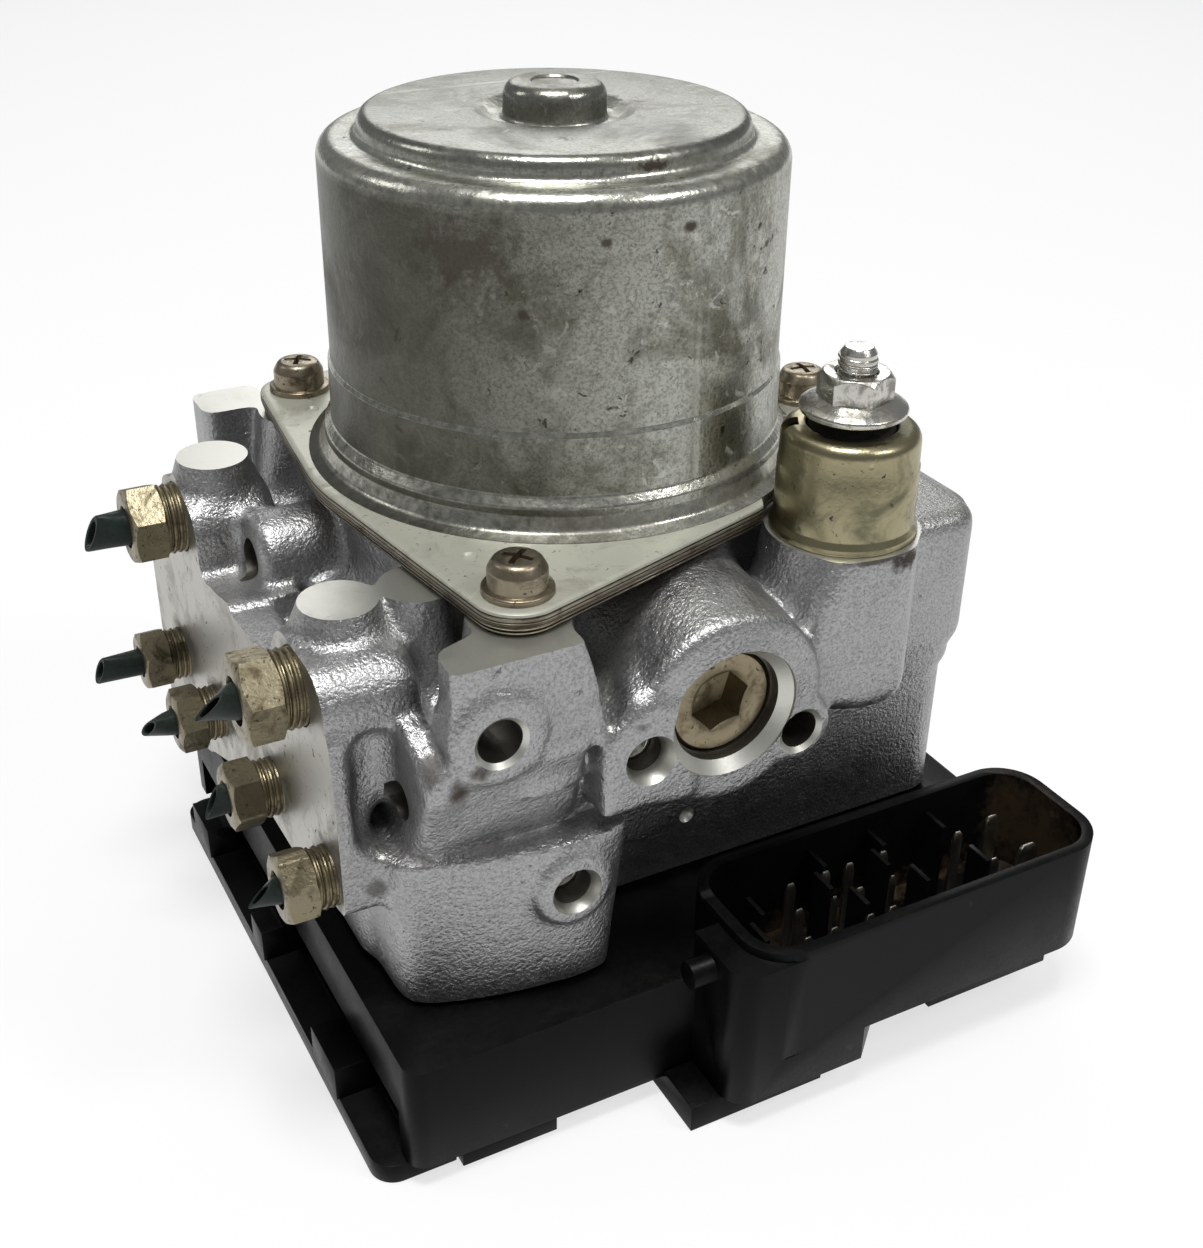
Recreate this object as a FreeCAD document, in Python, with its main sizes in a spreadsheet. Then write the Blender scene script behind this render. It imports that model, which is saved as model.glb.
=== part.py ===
import FreeCAD, Part
import math
import os
import Sketcher
from FreeCAD import Placement, Rotation, Vector

# Anti-lock brake control unit: a cast hydraulic block with a pump motor on top,
# a plastic controller with its connector below, six brake line ports on the left
# face and a rubber mount at the front right corner.
# Millimetres. Origin on the motor axis, in the base face of the controller lid.
# +Z up along the motor axis, +X right along the front face, +Y to the back.

# Driving dimensions: name, value, what it measures
DIMENSIONS = [
    ("lid_depth", 3.7, "controller lid, base to the housing edge"),
    ("lid_skin", 1.9, "bottom wall of the lid"),
    ("housing_depth", 19.3, "housing edge to the top of its deck"),
    ("housing_wall", 2.2, "side walls of the housing"),
    ("deck_skin", 2.0, "deck of the housing"),
    ("seal_height", 1.0, "housing seal, deck to block"),
    ("lower_block_height", 27.5, "block base to the front ledge"),
    ("upper_block_height", 32.7, "front ledge to the motor face"),
    ("end_plate_thickness", 2.0, "motor end plate"),
    ("can_sheet", 1.8, "drawn sheet of the motor can"),
    ("can_radius", 36.0, "motor can, outside"),
    ("skirt_radius", 36.4, "motor can below its step line"),
    ("skirt_height", 15.2, "flange to the step line"),
    ("bead_radius", 37.7, "bead above the flange"),
    ("shoulder_height", 49.7, "flange to the can shoulder"),
    ("shoulder_round", 5.0, "drawn rounding of the can shoulder"),
    ("disc_radius", 28.8, "raised end disc of the can"),
    ("disc_rise", 3.4, "shoulder to the end disc"),
    ("moat_radius", 10.6, "dished ring round the bearing pocket"),
    ("moat_depth", 1.5, "depth of the dished ring"),
    ("hub_radius", 7.7, "bearing pocket, outside"),
    ("hub_rise", 4.0, "end disc to the top of the pocket"),
    ("flange_round", 41.6, "round part of the motor flange"),
    ("flange_corner", 8.0, "radius of the three flange corners"),
    ("front_screw_x", -28.9, "front motor screw"),
    ("front_screw_y", -46.1, "front motor screw"),
    ("left_screw_x", -31.4, "left motor screw"),
    ("left_screw_y", 37.3, "left motor screw"),
    ("right_screw_x", 45.9, "right motor screw"),
    ("right_screw_y", -4.8, "right motor screw"),
    ("motor_screw_radius", 2.5, "motor screw thread, outside"),
    ("motor_screw_grip", 14.0, "motor screw below the flange"),
    ("shaft_radius", 4.0, "motor shaft"),
    ("shaft_top_radius", 2.5, "upper journal of the shaft"),
    ("eccentric_offset", 0.8, "throw of the pump eccentric"),
    ("eccentric_radius", 5.2, "eccentric journal"),
    ("eccentric_ring_radius", 8.5, "needle ring on the eccentric"),
    ("running_gap", 0.05, "radial gap of running and sliding fits"),
    ("thread_gap", 0.02, "radial gap of screwed and pressed fits"),
    ("port_face_x", -58.0, "machined face of the line ports"),
    ("front_face_y", -57.0, "machined front face"),
    ("lower_left", -51.4, "left wall of the lower block"),
    ("lower_right", 57.5, "right wall of the lower block"),
    ("lower_front", -40.0, "front wall of the lower block"),
    ("lower_back", 52.0, "back wall of the block"),
    ("shelf_front", -50.6, "front of the shelf at the left"),
    ("shelf_right", -15.8, "right end of the shelf"),
    ("bulge_x", -31.0, "accumulator bulges"),
    ("bulge_front_y", -46.5, "front accumulator axis"),
    ("bulge_back_y", 43.5, "rear accumulator axis"),
    ("bulge_radius", 10.8, "accumulator bulges, outside"),
    ("overhang", 1.6, "upper block beyond the lower block"),
    ("web_top", 72.0, "cast surface between the bosses"),
    ("cast_corner", 6.0, "upright corners of the casting"),
    ("raised_end_left", 30.0, "raised right end, left side"),
    ("raised_end_back", 24.0, "raised right end, back side"),
    ("raised_end_drop", 5.2, "motor face to the top of the raised end"),
    ("right_pad_x", 62.0, "rounded pad on the right wall"),
    ("right_pad_front", -36.0, "rounded pad on the right wall"),
    ("right_pad_back", -9.0, "rounded pad on the right wall"),
    ("right_pad_base", 57.6, "rounded pad on the right wall"),
    ("right_pad_top", 77.6, "rounded pad on the right wall"),
    ("corner_pad_left", -47.4, "square pad at the back left"),
    ("corner_pad_right", -35.6, "square pad at the back left"),
    ("corner_pad_front", 42.0, "square pad at the back left"),
    ("seat_block_left", 11.0, "block under the rubber mount"),
    ("seat_block_base", 59.2, "underside of the block under the mount"),
    ("seat_block_right", 5.3, "mount axis to the right side of its block"),
    ("pad_block_left", -46.0, "square pad block at the front left"),
    ("pad_block_right", -23.4, "square pad block at the front left"),
    ("pad_block_foot", 62.6, "level where its front slants back"),
    ("pad_block_slant", 6.0, "how far its front slants back"),
    ("channel_x", -14.2, "sealed channel in the front lug"),
    ("channel_height", 62.7, "sealed channel in the front lug"),
    ("channel_lug_radius", 7.3, "lug round the sealed channel"),
    ("low_channel_x", -25.9, "sealed channel in the shelf"),
    ("low_channel_height", 43.0, "sealed channel in the shelf"),
    ("peg_x", 12.6, "locating peg hole"),
    ("peg_height", 59.1, "locating peg hole"),
    ("peg_hole_depth", 9.0, "locating peg hole"),
    ("bracket_hole_x", -37.2, "tapped bracket hole"),
    ("bracket_hole_height", 72.3, "tapped bracket hole"),
    ("ear_face_x", -48.2, "left face of the front ear"),
    ("ear_y", -44.0, "centre of the front ear"),
    ("ear_height", 56.0, "centre of the front ear"),
    ("ear_radius", 12.4, "front ear"),
    ("ear_hole_radius", 3.4, "drilled holes of the two ears"),
    ("back_ear_face_x", -50.5, "left face of the back ear"),
    ("back_ear_y", 9.6, "centre of the back ear"),
    ("back_ear_height", 71.8, "centre of the back ear"),
    ("back_ear_radius", 7.6, "back ear"),
    ("tower_radius", 8.8, "round end of the two port towers"),
    ("tower_drop", 14.0, "straight sides of a tower below its axis"),
    ("tower_pad_radius", 6.6, "foot of the small pad on each tower"),
    ("tower_pad_rise", 8.0, "small pad on each tower"),
    ("tower_pad_front_x", -49.6, "pad of the front tower"),
    ("tower_pad_front_y", -31.2, "pad of the front tower"),
    ("tower_pad_back_x", -51.2, "pad of the back tower"),
    ("tower_pad_back_y", 24.8, "pad of the back tower"),
    ("slot_width", 4.6, "port wall in front of the slot"),
    ("motor_seat_radius", 37.5, "round seat under the motor"),
    ("seat_boss_radius", 7.4, "seat bosses under the screws"),
    ("pump_height", 66.2, "axis of the two pump elements"),
    ("pump_boss_radius", 15.6, "boss round a pump plug"),
    ("plug_radius", 8.6, "pump plug, outside"),
    ("plug_recess", 2.4, "boss face to plug face"),
    ("plug_length", 10.0, "pump plug"),
    ("plug_hex", 8.0, "hexagon socket of the pump plug"),
    ("counterbore_radius", 9.7, "bore in front of the plug"),
    ("piston_radius", 3.5, "pump piston"),
    ("piston_length", 20.0, "pump piston"),
    ("sleeve_radius", 6.0, "pump sleeve, outside"),
    ("sleeve_start", 15.0, "motor axis to the sleeve"),
    ("chamber_radius", 13.2, "eccentric chamber"),
    ("chamber_floor", 52.0, "floor of the eccentric chamber"),
    ("large_port_height", 74.2, "axis of the two large ports"),
    ("large_port_front_y", -34.5, "front large port"),
    ("large_port_back_y", 25.0, "rear large port"),
    ("small_port_1_y", -43.0, "small ports, front to back"),
    ("small_port_2_y", -18.3, "small ports, front to back"),
    ("small_port_3_y", 13.0, "small ports, front to back"),
    ("small_port_4_y", 35.0, "small ports, front to back"),
    ("small_port_front_height", 46.8, "axis of the two front small ports"),
    ("small_port_back_height", 42.4, "axis of the two rear small ports"),
    ("large_thread_radius", 6.0, "large flare nut thread"),
    ("large_nut_flats", 14.0, "large flare nut, across flats"),
    ("large_nut_hex", 7.0, "length of its hexagon"),
    ("large_pipe_radius", 3.1, "large brake pipe"),
    ("small_thread_radius", 5.0, "small flare nut thread"),
    ("small_nut_flats", 10.6, "small flare nut, across flats"),
    ("small_nut_hex", 5.8, "length of its hexagon"),
    ("small_pipe_radius", 2.4, "small brake pipe"),
    ("pipe_wall", 0.9, "wall of both pipes"),
    ("thread_depth", 12.0, "nut thread inside the block"),
    ("mount_x", 27.9, "rubber mount axis"),
    ("mount_y", -43.3, "rubber mount axis"),
    ("cup_radius", 10.9, "steel cup of the mount"),
    ("cup_height", 17.0, "steel cup of the mount"),
    ("cup_sheet", 1.0, "sheet of the cup"),
    ("cup_lip", 0.5, "rolled lip of the cup"),
    ("cup_mouth_radius", 7.6, "opening in the top of the cup"),
    ("stud_radius", 3.0, "mount stud"),
    ("stud_height", 29.0, "stud above the block face"),
    ("nut_flats", 10.0, "flange nut, across flats"),
    ("nut_flange_radius", 8.2, "flange of the nut"),
    ("bracket_hole_radius", 3.4, "tapped bracket holes"),
    ("bracket_hole_depth", 14.0, "tapped bracket holes"),
    ("peg_hole_radius", 3.1, "locating peg hole"),
    ("housing_left", -55.4, "controller housing, left"),
    ("housing_right", 62.5, "controller housing, right"),
    ("housing_front", -63.3, "controller housing, front"),
    ("housing_back", 50.0, "controller housing, back"),
    ("front_rim", 7.5, "closed rim at the front of the housing"),
    ("housing_corner", 3.0, "upright corners of the housing"),
    ("lid_left", -60.0, "lid flange, left"),
    ("shroud_left", -3.2, "connector shroud, left"),
    ("shroud_right", 65.0, "connector shroud, right"),
    ("shroud_front", -75.7, "connector shroud, front"),
    ("shroud_back", -50.0, "connector shroud, back"),
    ("shroud_base", 11.8, "underside of the shroud"),
    ("shroud_top", 32.6, "rim of the shroud"),
    ("shroud_wall", 1.9, "wall of the shroud"),
    ("shroud_corner", 8.0, "corner radius of the shroud"),
    ("shroud_floor", 14.2, "floor inside the shroud"),
    ("pin_top", 29.0, "tips of the pins and blades"),
    ("pin_thickness", 0.7, "signal pins"),
    ("blade_thickness", 0.8, "power blades"),
    ("rib_top", 29.5, "guide ribs in the connector"),
    ("rib_length", 4.8, "guide ribs in the connector"),
    ("rib_width", 0.8, "guide ribs in the connector"),
    ("coil_radius", 8.7, "valve coil"),
    ("coil_height", 12.0, "valve coil"),
    ("valve_dome_radius", 3.6, "valve dome inside its coil"),
    ("valve_body_radius", 5.0, "valve cartridge in the block"),
    ("valve_pitch_x", 21.0, "valve spacing along X"),
    ("valve_pitch_y", 34.0, "valve spacing along Y"),
    ("valve_depth", 20.0, "valve cartridge above the block base"),
    ("accumulator_radius", 8.0, "accumulator piston"),
    ("accumulator_bore_top", 39.0, "end of the accumulator bore"),
    ("accumulator_piston_length", 6.0, "accumulator piston"),
    ("accumulator_cap_height", 2.6, "accumulator cap"),
    ("board_thickness", 1.6, "circuit board"),
]

doc = FreeCAD.newDocument("brake_control_unit")
sheet = doc.addObject("Spreadsheet::Sheet", "sizes")


class Size:
    """A driving dimension, or a sum made from some: its number and its formula."""

    def __init__(self, number, formula):
        self.number = float(number)
        self.formula = formula

    def __add__(self, other):
        other = as_size(other)
        return Size(self.number + other.number, "(%s + %s)" % (self.formula, other.formula))

    def __sub__(self, other):
        other = as_size(other)
        return Size(self.number - other.number, "(%s - %s)" % (self.formula, other.formula))

    def __mul__(self, other):
        other = as_size(other)
        return Size(self.number * other.number, "(%s * %s)" % (self.formula, other.formula))

    def __truediv__(self, other):
        other = as_size(other)
        return Size(self.number / other.number, "(%s / %s)" % (self.formula, other.formula))

    def __radd__(self, other):
        return as_size(other) + self

    def __rsub__(self, other):
        return as_size(other) - self

    def __rmul__(self, other):
        return as_size(other) * self

    def __neg__(self):
        return Size(-self.number, "(0 - %s)" % self.formula)

    def __float__(self):
        return self.number


def as_size(value):
    """A plain number as a Size."""
    if isinstance(value, Size):
        return value
    return Size(value, "%.6f" % value if value >= 0 else "(0 - %.6f)" % -value)


class Dimensions:
    """The sheet's cells as attributes."""


def fill_sheet():
    """Write each driving dimension into the sheet and return them by name."""
    cells = Dimensions()
    for row, (name, value, meaning) in enumerate(DIMENSIONS, start=1):
        sheet.set("A%d" % row, name)
        sheet.set("B%d" % row, "%g" % value)
        sheet.set("C%d" % row, meaning)
        sheet.setAlias("B%d" % row, name)
        setattr(cells, name, Size(value, "sizes.%s" % name))
    doc.recompute()
    return cells


d = fill_sheet()

# Levels and places worked out from the driving dimensions
deck_level = d.lid_depth + d.housing_depth
block_base = deck_level + d.seal_height
ledge_level = block_base + d.lower_block_height
motor_face = ledge_level + d.upper_block_height
flange_base = motor_face + d.end_plate_thickness
flange_top = flange_base + d.can_sheet
shoulder_level = flange_top + d.shoulder_height
disc_level = shoulder_level + d.disc_rise
hub_level = disc_level + d.hub_rise
screw_places = [(d.front_screw_x, d.front_screw_y), (d.left_screw_x, d.left_screw_y),
                (d.right_screw_x, d.right_screw_y)]
small_ports = [(d.small_port_1_y, d.small_port_front_height),
               (d.small_port_2_y, d.small_port_front_height),
               (d.small_port_3_y, d.small_port_back_height),
               (d.small_port_4_y, d.small_port_back_height)]
large_ports = [(d.large_port_front_y, d.large_port_height),
               (d.large_port_back_y, d.large_port_height)]
valve_places = [(d.valve_pitch_x * (column - 1.5), d.valve_pitch_y * (row - 0.5))
                for column in range(4) for row in range(2)]
accumulator_places = [(d.bulge_x, d.bulge_front_y), (d.bulge_x, d.bulge_back_y)]

# Sketch planes: the role in a body's origin, and the sign that turns a place
# along the world axis into an offset along the plane's own normal
PLANES = {"Z": ("XY_Plane", 1), "Y": ("XZ_Plane", -1), "X": ("YZ_Plane", 1)}
parts = []


def body(name):
    """A new body for one sub-part."""
    made = doc.addObject("PartDesign::Body", name)
    made.Label = name
    parts.append(made)
    return made


def sketch_on(owner, axis, place):
    """A sketch square to a world axis, at a place along it."""
    role, sign = PLANES[axis]
    sketch = owner.newObject("Sketcher::SketchObject", owner.Name + "_sketch")
    plane = [item for item in owner.Origin.OriginFeatures if item.Role == role][0]
    sketch.AttachmentSupport = [(plane, "")]
    sketch.MapMode = "FlatFace"
    place = as_size(place)
    offset = place if sign > 0 else -place
    sketch.AttachmentOffset = Placement(Vector(0, 0, offset.number), Rotation())
    sketch.setExpression("AttachmentOffset.Base.z", offset.formula)
    return sketch


def fix(sketch, kind, *where):
    """Add a dimension to a sketch and bind it to its formula."""
    value = as_size(where[-1])
    index = sketch.addConstraint(Sketcher.Constraint(kind, *where[:-1], value.number))
    sketch.setExpression("Constraints[%d]" % index, value.formula)


def circle(sketch, x, y, radius):
    """A circle with its centre and radius bound."""
    centre = Vector(float(x), float(y), 0)
    edge = sketch.addGeometry(Part.Circle(centre, Vector(0, 0, 1), float(radius)), False)
    fix(sketch, "DistanceX", -1, 1, edge, 3, x)
    fix(sketch, "DistanceY", -1, 1, edge, 3, y)
    fix(sketch, "Radius", edge, radius)


def polygon(sketch, corners):
    """A closed outline with each corner bound."""
    points = [Vector(float(x), float(y), 0) for x, y in corners]
    count = len(points)
    first = sketch.GeometryCount
    for index in range(count):
        line = Part.LineSegment(points[index], points[(index + 1) % count])
        sketch.addGeometry(line, False)
    for index in range(count):
        after = first + (index + 1) % count
        sketch.addConstraint(Sketcher.Constraint("Coincident", first + index, 2, after, 1))
        fix(sketch, "DistanceX", -1, 1, first + index, 1, corners[index][0])
        fix(sketch, "DistanceY", -1, 1, first + index, 1, corners[index][1])


def rectangle(sketch, x_span, y_span):
    """A rectangle from two spans."""
    (left, right), (low, high) = x_span, y_span
    polygon(sketch, [(left, low), (right, low), (right, high), (left, high)])


def hexagon(sketch, x, y, flats):
    """A hexagon with two flats facing up and down."""
    flats = as_size(flats)
    half = flats / 2
    side = flats * (1 / math.sqrt(3))
    polygon(sketch, [(x + side, y), (x + side / 2, y + half), (x - side / 2, y + half),
                     (x - side, y), (x - side / 2, y - half), (x + side / 2, y - half)])


def lobed_outline(sketch, radius, corners, corner_radius):
    """The band round a central circle and its corner circles: arcs and tangent lines."""
    rings = []
    for index, (x, y) in enumerate(corners):
        angle = math.atan2(float(y), float(x))
        reach = math.hypot(float(x), float(y))
        spread = math.acos((float(radius) - float(corner_radius)) / reach)
        rings.append((angle, spread, index))
    rings.sort()
    first = sketch.GeometryCount
    big, small = float(radius), float(corner_radius)
    pieces = []
    for order, (angle, spread, index) in enumerate(rings):
        x, y = float(corners[index][0]), float(corners[index][1])
        enter, leave = angle - spread, angle + spread
        following = rings[(order + 1) % len(rings)]
        next_enter = following[0] - following[1]
        if next_enter < leave:
            next_enter += 2 * math.pi
        p_in = Vector(big * math.cos(enter), big * math.sin(enter), 0)
        q_in = Vector(x + small * math.cos(enter), y + small * math.sin(enter), 0)
        q_out = Vector(x + small * math.cos(leave), y + small * math.sin(leave), 0)
        p_out = Vector(big * math.cos(leave), big * math.sin(leave), 0)
        corner_circle = Part.Circle(Vector(x, y, 0), Vector(0, 0, 1), small)
        centre_circle = Part.Circle(Vector(0, 0, 0), Vector(0, 0, 1), big)
        pieces.append(Part.LineSegment(p_in, q_in))
        pieces.append(Part.ArcOfCircle(corner_circle, enter, leave))
        pieces.append(Part.LineSegment(q_out, p_out))
        pieces.append(Part.ArcOfCircle(centre_circle, leave, next_enter))
    sketch.addGeometry(pieces, False)
    total = len(pieces)
    for place in range(total):
        here, after = first + place, first + (place + 1) % total
        sketch.addConstraint(Sketcher.Constraint("Tangent", here, 2, after, 1))
    for order, (angle, spread, index) in enumerate(rings):
        corner_arc = first + 4 * order + 1
        centre_arc = first + 4 * order + 3
        fix(sketch, "DistanceX", -1, 1, corner_arc, 3, corners[index][0])
        fix(sketch, "DistanceY", -1, 1, corner_arc, 3, corners[index][1])
        fix(sketch, "Radius", corner_arc, corner_radius)
        sketch.addConstraint(Sketcher.Constraint("Coincident", centre_arc, 3, -1, 1))
        fix(sketch, "Radius", centre_arc, radius)


def pad(owner, axis, span, draw, draft=0):
    """Add material between two places on an axis, over what draw puts in the sketch."""
    low, high = as_size(span[0]), as_size(span[1])
    start = low if PLANES[axis][1] > 0 else high
    sketch = sketch_on(owner, axis, start)
    draw(sketch)
    feature = owner.newObject("PartDesign::Pad", owner.Name + "_pad")
    feature.Profile = sketch
    feature.Length = (high - low).number
    feature.setExpression("Length", (high - low).formula)
    if draft:
        feature.TaperAngle = -draft
    return feature


def pocket(owner, axis, span, draw):
    """Remove material between two places on an axis."""
    low, high = as_size(span[0]), as_size(span[1])
    start = high if PLANES[axis][1] > 0 else low
    sketch = sketch_on(owner, axis, start)
    draw(sketch)
    feature = owner.newObject("PartDesign::Pocket", owner.Name + "_pocket")
    feature.Profile = sketch
    feature.Type = 0
    feature.Length = (high - low).number
    feature.setExpression("Length", (high - low).formula)
    return feature


def turn(owner, profile):
    """Turn a closed profile of radius and height round the Z axis."""
    sketch = sketch_on(owner, "Y", 0)
    polygon(sketch, profile)
    feature = owner.newObject("PartDesign::Revolution", owner.Name + "_turned")
    feature.Profile = sketch
    feature.ReferenceAxis = (sketch, ["V_Axis"])
    feature.Angle = 360
    return feature


def round_edges(owner, radius, chosen):
    """Round the edges of the latest feature that the rule picks."""
    doc.recompute()
    base = owner.Tip
    names = ["Edge%d" % (index + 1) for index, edge in enumerate(base.Shape.Edges) if chosen(edge)]
    feature = owner.newObject("PartDesign::Fillet", owner.Name + "_round")
    feature.Base = (base, names)
    feature.Radius = float(radius)
    feature.setExpression("Radius", as_size(radius).formula)
    return feature


def upright(edge, low, high):
    """True for a straight edge along Z between two levels."""
    box = edge.BoundBox
    return box.XLength < 0.01 and box.YLength < 0.01 and box.ZLength > 0.5 \
        and box.ZMin > float(low) - 0.01 and box.ZMax < float(high) + 0.01


def near(edge, x, y):
    """True for an upright edge that stands at a place in plan."""
    box = edge.BoundBox
    return abs(box.XMin - float(x)) < 0.05 and abs(box.YMin - float(y)) < 0.05 and \
        box.XLength < 0.01 and box.YLength < 0.01


def ring(edge, radius, height):
    """True for a full circle round the Z axis with a radius, at a height."""
    box = edge.BoundBox
    return abs(box.ZMin - float(height)) < 0.01 and abs(box.ZMax - float(height)) < 0.01 and \
        abs(box.XMax - float(radius)) < 0.01


def group(name, members):
    """Identical small pieces kept together as separate solids of one node."""
    holder = doc.addObject("Part::Compound", name)
    holder.Label = name
    holder.Links = members
    parts.append(holder)
    return holder


def inner(made):
    """Take a body off the list of sub-parts, because a group holds it."""
    parts.remove(made)
    return made


# Cast hydraulic block
def upper_casting(block):
    """The upper body with the motor seat, the screw bosses and the raised right end."""
    left, right = d.lower_left + 7.0, d.lower_right + d.overhang
    front = d.lower_front - d.overhang
    pad(block, "Z", (ledge_level, d.web_top), lambda sketch: rounded_plan(
        sketch, left, right, front, d.lower_back, d.cast_corner))
    pad(block, "Z", (d.web_top - 1, motor_face - d.raised_end_drop), lambda sketch: rounded_plan(
        sketch, d.raised_end_left, right, front, d.raised_end_back, d.cast_corner))
    pad(block, "Z", (ledge_level, motor_face), lambda sketch: circle(
        sketch, 0, 0, d.motor_seat_radius))
    for x, y in screw_places:
        pad(block, "Z", (d.web_top, motor_face), lambda sketch, x=x, y=y: circle(
            sketch, x, y, d.seat_boss_radius + 2.5), draft=10)
    # rounded pad on the right wall
    pad(block, "X", (d.lower_right - 8, d.right_pad_x), lambda sketch: rounded_plan(
        sketch, d.right_pad_front, d.right_pad_back, d.right_pad_base, d.right_pad_top, 5.0))


def front_bosses(block):
    """Pad block, channel lug, pump plug boss, peg tab and mount seat on the front."""
    front = d.front_face_y
    back = d.lower_front + 4
    # pad block with its slanted foot, and the wall that joins it to the channel lug
    pad(block, "X", (d.pad_block_left, d.pad_block_right), lambda sketch: polygon(sketch, [
        (front, motor_face), (front, d.pad_block_foot), (front + d.pad_block_slant, ledge_level),
        (back, ledge_level), (back, motor_face)]))
    round_edges(block, 2.0, lambda edge: upright(edge, 60, motor_face) and (
        near(edge, d.pad_block_left, front) or near(edge, d.pad_block_right, front)))
    pad(block, "X", (d.ear_face_x + 3, d.channel_x + 2), lambda sketch: polygon(sketch, [
        (front + d.pad_block_slant / 2, d.pad_block_foot - 1.6),
        (front + d.pad_block_slant, ledge_level), (back, ledge_level),
        (back, d.pad_block_foot - 1.6)]))
    # lug with the sealed channel
    pad(block, "Y", (front, back), lambda sketch: circle(
        sketch, d.channel_x, d.channel_height + 1, d.channel_lug_radius))
    pad(block, "Y", (front, back), lambda sketch: rectangle(
        sketch, (d.channel_x - d.channel_lug_radius, d.channel_x + d.channel_lug_radius),
        (d.channel_height - 8.4, d.channel_height + 1)))
    # bosses round the two pump plugs
    pad(block, "Y", (front, back), lambda sketch: circle(
        sketch, 0, d.pump_height, d.pump_boss_radius))
    pad(block, "Y", (30.0, -front), lambda sketch: circle(
        sketch, 0, d.pump_height, d.pump_boss_radius))
    # tab with the peg hole
    pad(block, "Y", (front, back), lambda sketch: circle(
        sketch, d.peg_x, d.peg_height, d.peg_hole_radius + 1.9))
    # block and round seat under the rubber mount
    right = d.mount_x + d.seat_block_right
    pad(block, "Y", (front, back), lambda sketch: rounded_plan(
        sketch, d.seat_block_left, right, d.seat_block_base, motor_face - 8.0, 3.5))
    pad(block, "Z", (motor_face - 14, motor_face), lambda sketch: rectangle(
        sketch, (d.mount_x - 10.6, right), (front, d.mount_y + 12)))
    pad(block, "Z", (d.web_top, motor_face), lambda sketch: circle(
        sketch, d.mount_x, d.mount_y, d.cup_radius + d.cup_lip + 0.4))


def back_bosses(block):
    """The square pad at the back left corner."""
    pad(block, "Z", (ledge_level, motor_face), lambda sketch: rounded_plan(
        sketch, d.corner_pad_left, d.corner_pad_right, d.corner_pad_front, d.lower_back, 2.5))


def ear(block, face, y, height, radius):
    """A round lug that faces left, with a drilled hole."""
    pad(block, "X", (face, face + 12), lambda sketch: circle(sketch, y, height, radius))


def lower_casting(block):
    """The lower box, the front shelf, its flat front and the two accumulator bulges."""
    span = (block_base, ledge_level)
    pad(block, "Z", span, lambda sketch: rounded_plan(
        sketch, d.lower_left, d.lower_right, d.lower_front, d.lower_back, d.cast_corner))
    pad(block, "Z", span, lambda sketch: rounded_plan(
        sketch, d.lower_left, d.shelf_right, d.shelf_front, d.lower_front + 14, 3.0))
    for x, y in accumulator_places:
        pad(block, "Z", span, lambda sketch, x=x, y=y: circle(sketch, x, y, d.bulge_radius))
    front = d.front_face_y
    pad(block, "Y", (front, -46.0), lambda sketch: rectangle(
        sketch, (-39.0, d.shelf_right - 1.6), (46.6, ledge_level)))
    pad(block, "Y", (front, -46.0), lambda sketch: circle(
        sketch, d.low_channel_x, d.low_channel_height, 7.3))


def port_wall(block):
    """The left wall with the six line ports, its two towers and the slot behind its edge."""
    face = d.port_face_x
    root = d.lower_left + 8
    pad(block, "X", (face, root), lambda sketch: polygon(sketch, [
        (-48.6, 42.8), (-28.0, 38.7), (0.0, 38.0), (28.0, 26.2), (50.0, 25.6),
        (50.0, 64.0), (22.0, 65.5), (0.0, 70.6), (-22.0, 70.6), (-45.6, 72.0), (-47.4, 62.0)]))
    for (y, height), (pad_x, pad_y) in zip(large_ports, tower_pads):
        reach = d.tower_radius
        pad(block, "X", (face, root), lambda sketch, y=y, height=height: circle(
            sketch, y, height, reach))
        pad(block, "X", (face, root), lambda sketch, y=y, height=height: rectangle(
            sketch, (y - reach, y + reach), (height - d.tower_drop, height)))
        pad(block, "Z", (motor_face - d.tower_pad_rise, motor_face),
            lambda sketch, x=pad_x, y=pad_y: circle(sketch, x, y, d.tower_pad_radius), draft=6)
    # slot between the wall's front edge and the ear
    pocket(block, "X", (face + d.slot_width, d.ear_face_x), lambda sketch: polygon(sketch, [
        (-60.0, ledge_level), (-33.0, ledge_level), (-34.0, 57.0), (-44.0, 71.0), (-60.0, 71.0)]))


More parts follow.
